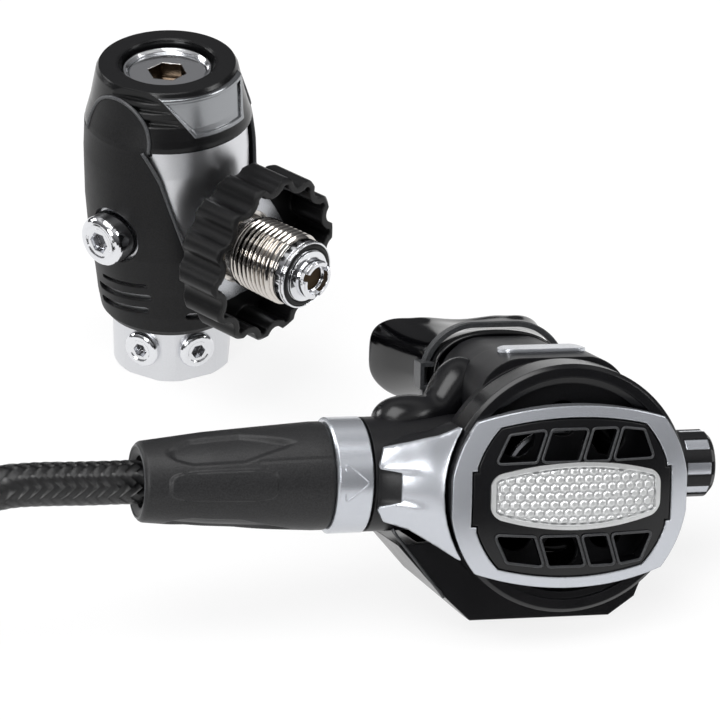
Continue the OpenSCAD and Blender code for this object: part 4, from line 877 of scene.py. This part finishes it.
# ---- Second stage: forked arm ----
# Silver arm from the bezel to the inlet barrel, moulded in ABS, with two prongs that clasp
# a black seat of the case. It slopes from the front dome back to the barrel.
arm_gap_r = 36.8
arm_end_r = 52.3
arm_slope = 1.15
barrel_face_r = 17.5
arm_upper = [(-52.4, 6.4), (-50.6, 11.2), (-44, 13.2), (-37, 15.7)]
arm_right = [(-arm_gap_r * math.cos(a), arm_gap_r * math.sin(a))
             for a in (math.radians(31.4 - 6.4 * k) for k in range(11))]
arm_lower = [(-36.2, -16.6), (-44.1, -11.8), (-50.2, -10.1), (-52.5, -6.4)]
arm_notch = [(-52.2, -5.4), (-46.6, -3.7), (-46.6, 4.7), (-52.2, 5.5)]
prong_z, prong_inner, prong_flank = 0.6, 3.4, 2.4
prong_from, prong_run, prong_drop = 38.5, 7, 0.75
net_step = 0.7
net_corner = Vector((-54, -22))
net_columns, net_rows = 40, 70


def arm_depth(x, z):
    """Depth of the arm's face: the front dome at its right end and the barrel at its left."""
    across = clamped((math.hypot(x, z) - arm_gap_r) / (arm_end_r - arm_gap_r))
    barrel = inlet_y - math.sqrt(max(barrel_face_r ** 2 - (z - inlet_z) ** 2, 1))
    prong = clamped((abs(z - prong_z) - prong_inner) / prong_flank)
    prong *= clamped((-x - prong_from) / prong_run)
    dome = dome_depth(x, z)
    return dome + (barrel - dome) * across ** arm_slope - prong_drop * eased(prong)


def is_inside(p, outline):
    """Whether a point lies inside a closed outline, found by the edges that it faces."""
    crossed = 0
    for a, b in zip(outline, outline[1:] + outline[:1]):
        if (a.y > p.y) != (b.y > p.y) and p.x < a.x + (b.x - a.x) * (p.y - a.y) / (b.y - a.y):
            crossed += 1
    return crossed % 2 == 1


def outline_skin(name, corners, radius, lift, skirt):
    """Skin over a rounded outline, as a fine net on the arm's face with a skirt behind it."""
    edge = []
    loop = rounded_loop(corners, radius, 4)
    for i, here in enumerate(loop):
        ahead = loop[(i + 1) % len(loop)]
        parts = max(round((ahead - here).length / net_step), 1)
        edge += [here.lerp(ahead, k / parts) for k in range(parts) if (ahead - here).length > 0.001]
    net = [net_corner + net_step * Vector((i, k)) for i in range(net_columns) for k in range(net_rows)]
    inner = [p for p in net
             if is_inside(p, edge) and min((q - p).length for q in edge) > net_step * 0.5]
    flat, _, faces, _, _, _ = delaunay_2d_cdt(edge + inner, [], [list(range(len(edge)))], 1, 0.00001)
    verts = [in_stage2(p.x, arm_depth(p.x, p.y) - lift, p.y) for p in flat]
    faces = [tuple(face) for face in faces]
    sides = [side for face in faces for side in zip(face, face[1:] + face[:1])]
    known = set(sides)
    behind = {}
    for a, b in sides:
        if (b, a) in known:
            continue
        for v in (a, b):
            if v not in behind:
                behind[v] = len(verts)
                p = flat[v]
                verts.append(in_stage2(p.x, arm_depth(p.x, p.y) - lift + skirt, p.y))
        faces.append((b, a, behind[a], behind[b]))
    return add_piece(name, verts, faces, sharp=50)


arm = outline_skin("forked_arm_skin", arm_upper + arm_right + arm_lower + arm_notch,
                   radius=0.5, lift=0, skirt=1.4)
finish_piece(arm, silver_lacquer, "second_stage")
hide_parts("forked_arm")
seat = outline_skin("arm_seat", arm_upper + arm_right + arm_lower,
                    radius=1.2, lift=-1.0, skirt=9)
finish_piece(seat, filled_nylon, "second_stage")

# ---- Second stage: diaphragm, purge spring and exhaust valve ----
# Silicone sheet with one round fold that seals the front of the case, the purge button's
# spring behind its travel, and the exhaust's mushroom valve, a thin cap on a stem.
sheet_front, sheet_back, hub_edge = 12.0, 12.9, 15.15
fold_from, fold_step, fold_rise = 15.3, 0.5, 1.4
fold_steps = 18
spring_front, spring_back, purge_travel = -6.7, 4.9, 3.1
spring_coil_r = 6
spring_wire_r = 0.0005
spring_gap = 0.5
spring_steps, steps_per_coil = 70, 20
exhaust_centre = (0, 23, -31)


def on_ring(x, z, depth):
    """Point about the front ring's axis, with depth behind its middle plane."""
    return in_stage2(x, depth, z)


def on_exhaust(x, y, depth):
    """Point about the exhaust valve's axis, with depth up into the case."""
    return in_stage2(exhaust_centre[0] + x, exhaust_centre[1] + y, exhaust_centre[2] + depth)


# Silicone: deep glossy black with large white reflections.
silicone = moulded("glossy_black_silicone", "#040405", 0.1, 0.000004, 0.0002, 0.4)
fold = [(fold_from + fold_step * k, fold_rise * math.sin(math.pi * k / fold_steps) ** 2)
        for k in range(fold_steps + 1)]
demand_sheet = turned_skin(
    "demand_diaphragm_sheet",
    [(hub_edge, sheet_front)] + [(r, sheet_front - rise) for r, rise in fold]
    + [(26.2, 11.75), (31.1, 11.75), (31.1, 13.0), (26.2, 13.0)]
    + [(r, sheet_back - rise) for r, rise in reversed(fold)]
    + [(hub_edge, sheet_back), (hub_edge, sheet_front)], on_ring)
finish_piece(demand_sheet, silicone, "second_stage")
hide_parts("demand_diaphragm")
helix_start = spring_front + purge_travel + spring_gap
helix_length = spring_back - spring_gap - helix_start
helix = [on_ring(spring_coil_r * math.cos(k * math.tau / steps_per_coil),
                 spring_coil_r * math.sin(k * math.tau / steps_per_coil),
                 helix_start + helix_length * k / spring_steps)
         for k in range(spring_steps + 1)]
coil = finish_piece(bead("purge_coil_spring", helix, spring_wire_r), spring_wire, "second_stage")
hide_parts("purge_spring")
mushroom = turned_skin("exhaust_mushroom", [
    (0, -0.35), (3, -0.3), (6, -0.15), (8.8, 0.05), (8.95, 0.15), (8.8, 0.25), (6, 0.35), (2, 0.55),
    (1.15, 0.9), (1.1, 3.4), (1.15, 4.0), (0.8, 4.6), (0, 4.75)], on_exhaust, sides=64)
finish_piece(mushroom, silicone, "second_stage")
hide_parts("exhaust_valve")

# ---- Second stage: rolled edge of the exhaust tee ----
# The tee's left wing turns back in a rolled edge, whose inner corner is a moulded bead. It
# belongs to the tee and is moulded with it.
wing_edge = [(-47.8, -12.2), (-46.2, -14.6), (-40.8, -21.4), (-35.2, -28.6), (-32.2, -32.4)]
wing_front = 10.9
wing_edge_radius = 0.0005
# The bead is greyer than the tee: a painted highlight.
finish_piece(bead("wing_edge", [in_stage2(x, wing_front, z) for x, z in wing_edge],
                  wing_edge_radius),
             edge_highlight_nylon, "second_stage")

# ---- Second stage: mouthpiece ----
# Liquid-silicone mouthpiece pushed over the neck: a smooth oval collar that flares into
# the lip guard, with a notch at its middle, and an open bore right through.
neck_x, neck_z = -3, 22
mouth_sides = 48
lower_rounding = 1.9
notch_spread = 9
side_dip_x, side_dip_spread, side_dip_share = 14, 16, 0.35
sweep_reach = 20


def mouth_loop(half_w, half_h, depth, square, sweep, dip):
    """Closed loop of the mouthpiece: a rounded box at one depth with a notch top and bottom."""
    loop = []
    for c, s in round_points(1, mouth_sides):
        power = square if s > 0 else square * lower_rounding
        x = half_w * math.copysign(abs(c) ** power, c)
        z = half_h * math.copysign(abs(s) ** power, s)
        dips = math.exp(-x * x / notch_spread)
        dips += side_dip_share * math.exp(-(abs(x) - side_dip_x) ** 2 / side_dip_spread)
        loop.append(in_stage2(neck_x - sweep / 2 + x, depth + sweep * (x / sweep_reach) ** 2,
                              neck_z + z * (1 - dip * dips)))
    return loop


def mouthpiece_skin():
    """Skin lofted over the loops from the collar's end to the lips and back down the bore."""
    rings = [
        (19.8, 13.9, 56.6, 0.8, 0, 0), (20.0, 14.15, 57.4, 0.8, 0, 0), (20.1, 14.2, 62, 0.8, 0, 0),
        (20.3, 13.4, 66, 0.76, 0.2, 0), (21.4, 12.6, 71, 0.7, 0.6, 0.01),
        (23.0, 12.4, 77, 0.62, 1.2, 0.03), (24.8, 12.7, 82.5, 0.56, 1.8, 0.07),
        (26.0, 13.1, 86.8, 0.5, 2.2, 0.12),
        (26.8, 13.8, 90.2, 0.47, 2.4, 0.14), (26.9, 13.9, 91.6, 0.46, 2.4, 0.14),
        (26.2, 13.3, 92.9, 0.46, 2.4, 0.14), (24.0, 11.4, 92.6, 0.5, 2.2, 0.12),
        (20.0, 8.6, 90.4, 0.6, 1.6, 0.08), (16.4, 7.8, 86, 0.8, 0.8, 0), (15.4, 9.4, 76, 0.8, 0, 0),
        (15.4, 9.4, 68.6, 0.8, 0, 0), (19.2, 12.2, 68.4, 0.8, 0, 0), (19.2, 12.2, 57.4, 0.8, 0, 0),
        (19.3, 12.6, 56.6, 0.8, 0, 0),
    ]
    verts = [p for ring in rings for p in mouth_loop(*ring)]
    piece = add_piece("silicone_mouthpiece", verts, quads_between(len(rings), mouth_sides, closed=True))
    rounder = piece.modifiers.new("rounded", "SUBSURF")
    rounder.levels = 1
    rounder.render_levels = 2
    return piece


mouth = finish_piece(mouthpiece_skin(), silicone, "second_stage")
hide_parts("mouthpiece")

# ---- Second stage: mouthpiece tie ----
# Nylon cable tie pulled tight round the collar, with its square ratchet head at the left,
# whose window opens to the front.
tie_sides = 96
tie_flat, tie_round = 6, 14.6
head_x, head_y, head_z = (-26.4, -20.8), (57.4, 63.9), (19.4, 27.2)
head_wall = 1.2
window_depth = 5


def tie_loop(grow, depth):
    """Closed loop of the strap at a depth, a little outside the collar."""
    loop = []
    for c, s in round_points(1, tie_sides):
        flat = math.copysign(tie_flat, c) if abs(c) > 0.001 else 0
        loop.append(in_stage2(neck_x + flat + (tie_round + grow) * c, depth,
                              neck_z + (tie_round + grow) * s))
    return loop


def box_loop(inset, depth):
    """Closed loop round the ratchet head at a depth, set in from its sides."""
    x0, x1, z0, z1 = head_x[0] + inset, head_x[1] - inset, head_z[0] + inset, head_z[1] - inset
    return [in_stage2(x, depth, z) for x, z in ((x0, z0), (x1, z0), (x1, z1), (x0, z1))]


def tie_skin():
    """Strap and ratchet head in one mesh."""
    strap = ((0.1, 60.2), (1.5, 60.2), (1.8, 60.6), (1.8, 63.0), (1.5, 63.4), (0.1, 63.4))
    verts = [p for grow, depth in strap for p in tie_loop(grow, depth)]
    faces = quads_between(len(strap), tie_sides, closed=True)
    first = len(verts)
    front = head_y[0]
    walls = ((0, head_y[1]), (0, front), (head_wall, front), (head_wall, front + window_depth))
    for inset, depth in walls:
        verts += box_loop(inset, depth)
    for face in quads_between(4, 4) + [(3, 2, 1, 0), (12, 13, 14, 15)]:
        faces.append(tuple(first + v for v in face))
    piece = add_piece("cable_tie", verts, faces, smooth=False)
    shape = bmesh.new()
    shape.from_mesh(piece.data)
    bmesh.ops.recalc_face_normals(shape, faces=shape.faces)
    shape.to_mesh(piece.data)
    shape.free()
    return piece


# The whole tie is greyer than the case: a painted highlight for its bright edges.
tie = finish_piece(tie_skin(), edge_highlight_nylon, "second_stage")
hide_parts("mouthpiece_tie")

# ---- Second stage: bypass ----
# Twin swellings that carry air from the inlet barrel past the valve up to the neck, moulded
# as one skin. Each row is a point of its middle line and its radius there.
lobes = [
    (-48.6, 28, 13.4, 0.3), (-48.4, 28, 13.6, 3), (-47.2, 28.1, 13.9, 5.6), (-44.5, 28.6, 14.3, 7.4),
    (-41, 29.2, 14.7, 8.0), (-37, 29.9, 15.1, 7.9), (-33.2, 30.7, 15.6, 7.2), (-30, 31.8, 16.8, 6.0),
    (-27.4, 33.2, 18.9, 5.9), (-25, 34.8, 21.4, 6.6), (-22.4, 36.6, 24.1, 6.9), (-19.9, 38.4, 26.4, 6.4),
    (-17.9, 39.8, 28.2, 4.9), (-16.7, 40.6, 29.2, 2.6), (-16.4, 40.8, 29.5, 0.3),
]
bypass = bead("bypass_lobes", [in_stage2(*lobe[:3]) for lobe in lobes],
              [lobe[3] / 1000 for lobe in lobes], sides=40)
bypass.modifiers.new("rounded", "SUBSURF").render_levels = 2
finish_piece(bypass, gloss_nylon, "second_stage")
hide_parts("bypass_tube")

# ---- Second stage: inlet sleeve ----
# Soft grip sleeve over the hose's end, moulded with three finger flutes and a raised bare
# panel. It turns with the selector ring.
sleeve_from, sleeve_to = -118.2, -64.4
sleeve_profile = [(0, 10.6), (0.6, 11.3), (1.2, 11.5), (6, 12.0), (19, 13.4), (34, 14.4), (50, 15.4),
                  (53.2, 15.4), (53.8, 15.1)]
sleeve_steps, sleeve_sides = 130, 220
flute_from, flute_to = -112.5, -71.5
flute_middle = 0.88
flute_half = 0.42
flute_depth = 1.15
flute_flank = 0.14
panel_x, panel_half_l = -96.2, 15.4
panel_angle, panel_half_angle = 0.03, 0.32
panel_rise = 0.7
seam_from, seam_angle, seam_half, seam_depth = -86, 0.5, 0.03, 0.18
mouth_r, mouth_rim_radius = 10.2, 0.00035


def on_barrel(x, angle, radius):
    """Point about the inlet's axis: angle 0 faces the front and a quarter turn is up."""
    return in_stage2(x, inlet_y - radius * math.cos(angle), inlet_z + radius * math.sin(angle))


def flute(x, angle):
    """How far inside a long lens-shaped flute a point lies: 0 at its rim and 1 within it."""
    along = (x - flute_from) / (flute_to - flute_from)
    if not 0 < along < 1:
        return 0
    wide = flute_half * min(math.sqrt(along * 5), 1) * min((1 - along) * 2.2, 1)
    ends = min(along / 0.09, (1 - along) / 0.16, 1)
    return eased(clamped((wide - abs(angle)) / flute_flank) * ends)


def sleeve_radius(x, angle):
    """Radius of the sleeve's skin with its flutes, its raised panel and its seam line."""
    reach = radius_at(sleeve_profile, x - sleeve_from)
    for middle in (flute_middle, flute_middle + math.tau / 3, flute_middle - math.tau / 3):
        reach -= flute_depth * flute(x, (angle - middle + math.pi) % math.tau - math.pi)
    along, around = (x - panel_x) / panel_half_l, (angle - panel_angle) / panel_half_angle
    reach += panel_rise * clamped((1 - abs(along) ** 6 - abs(around) ** 4) / 0.2)
    if x > seam_from and abs(angle - seam_angle) < seam_half:
        reach -= seam_depth
    return reach


def sleeve_skin():
    """Skin of the sleeve round its axis, turned in at its mouth and at its wide end."""
    rows = [(sleeve_from + 7.9, 7.4), (sleeve_from + 0.9, 7.4), (sleeve_from + 0.2, 8.3),
            (sleeve_from, 9.4)]
    rows += [(sleeve_from + (sleeve_to - sleeve_from) * k / sleeve_steps, None)
             for k in range(sleeve_steps + 1)]
    rows += [(sleeve_to, 12.3), (sleeve_from + 28, 12.1), (sleeve_from + 12.2, 10.4),
             (sleeve_from + 10, 9.6)]
    verts = []
    for x, fixed in rows:
        for k in range(sleeve_sides):
            angle = math.tau * k / sleeve_sides - math.pi
            verts.append(on_barrel(x, angle, fixed or sleeve_radius(x, angle)))
    return add_piece("grip_sleeve", verts, quads_between(len(rows), sleeve_sides, closed=True), sharp=50)


# Soft-touch TPE: dark grey and matt, with a fine even grain.
soft_tpe = moulded("soft_grey_tpe", "#1E1E1F", 0.44, 0.00012, 0.0002, 0.3)
dress(soft_tpe, "inlet_sleeve")
sleeve = finish_piece(sleeve_skin(), soft_tpe, "selector")
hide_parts("inlet_sleeve")
mouth_rim = [on_barrel(sleeve_from + 0.05, math.tau * k / 96, mouth_r) for k in range(96)]
# The rim is greyer than the sleeve: a painted highlight.
finish_piece(bead("sleeve_mouth_rim", mouth_rim, mouth_rim_radius, closed=True), edge_highlight_nylon,
             "selector")

# ---- Second stage: selector ring ----
# Lacquered ring that turns with the sleeve, marked with a plain triangle: a fine bead whose
# corners are given along the axis and round the ring.
ring_r = 16.5
mark_lift = 0.02
mark_radius = 0.00028
mark_corner_r = 0.7
triangle = rounded_loop([(-61.8, -5.2), (-54.9, 0.4), (-61.8, 6.4)], mark_corner_r)
mark = [on_barrel(p.x, p.y / ring_r, ring_r + mark_lift) for p in triangle]
finish_piece(bead("ring_triangle", mark, mark_radius, closed=True), silver_lacquer, "selector")

# ---- Hose ends ----
# Crimped steel ferrules, the chromed inlet nut, and the end fitting that screws into the
# first stage, with its thread and O-ring.
dress(polished_chrome, "inlet_nut", "end_fitting")
dress(turned_steel, "hose_ferrule", "end_ferrule")
dress(nitrile, "end_o_ring")
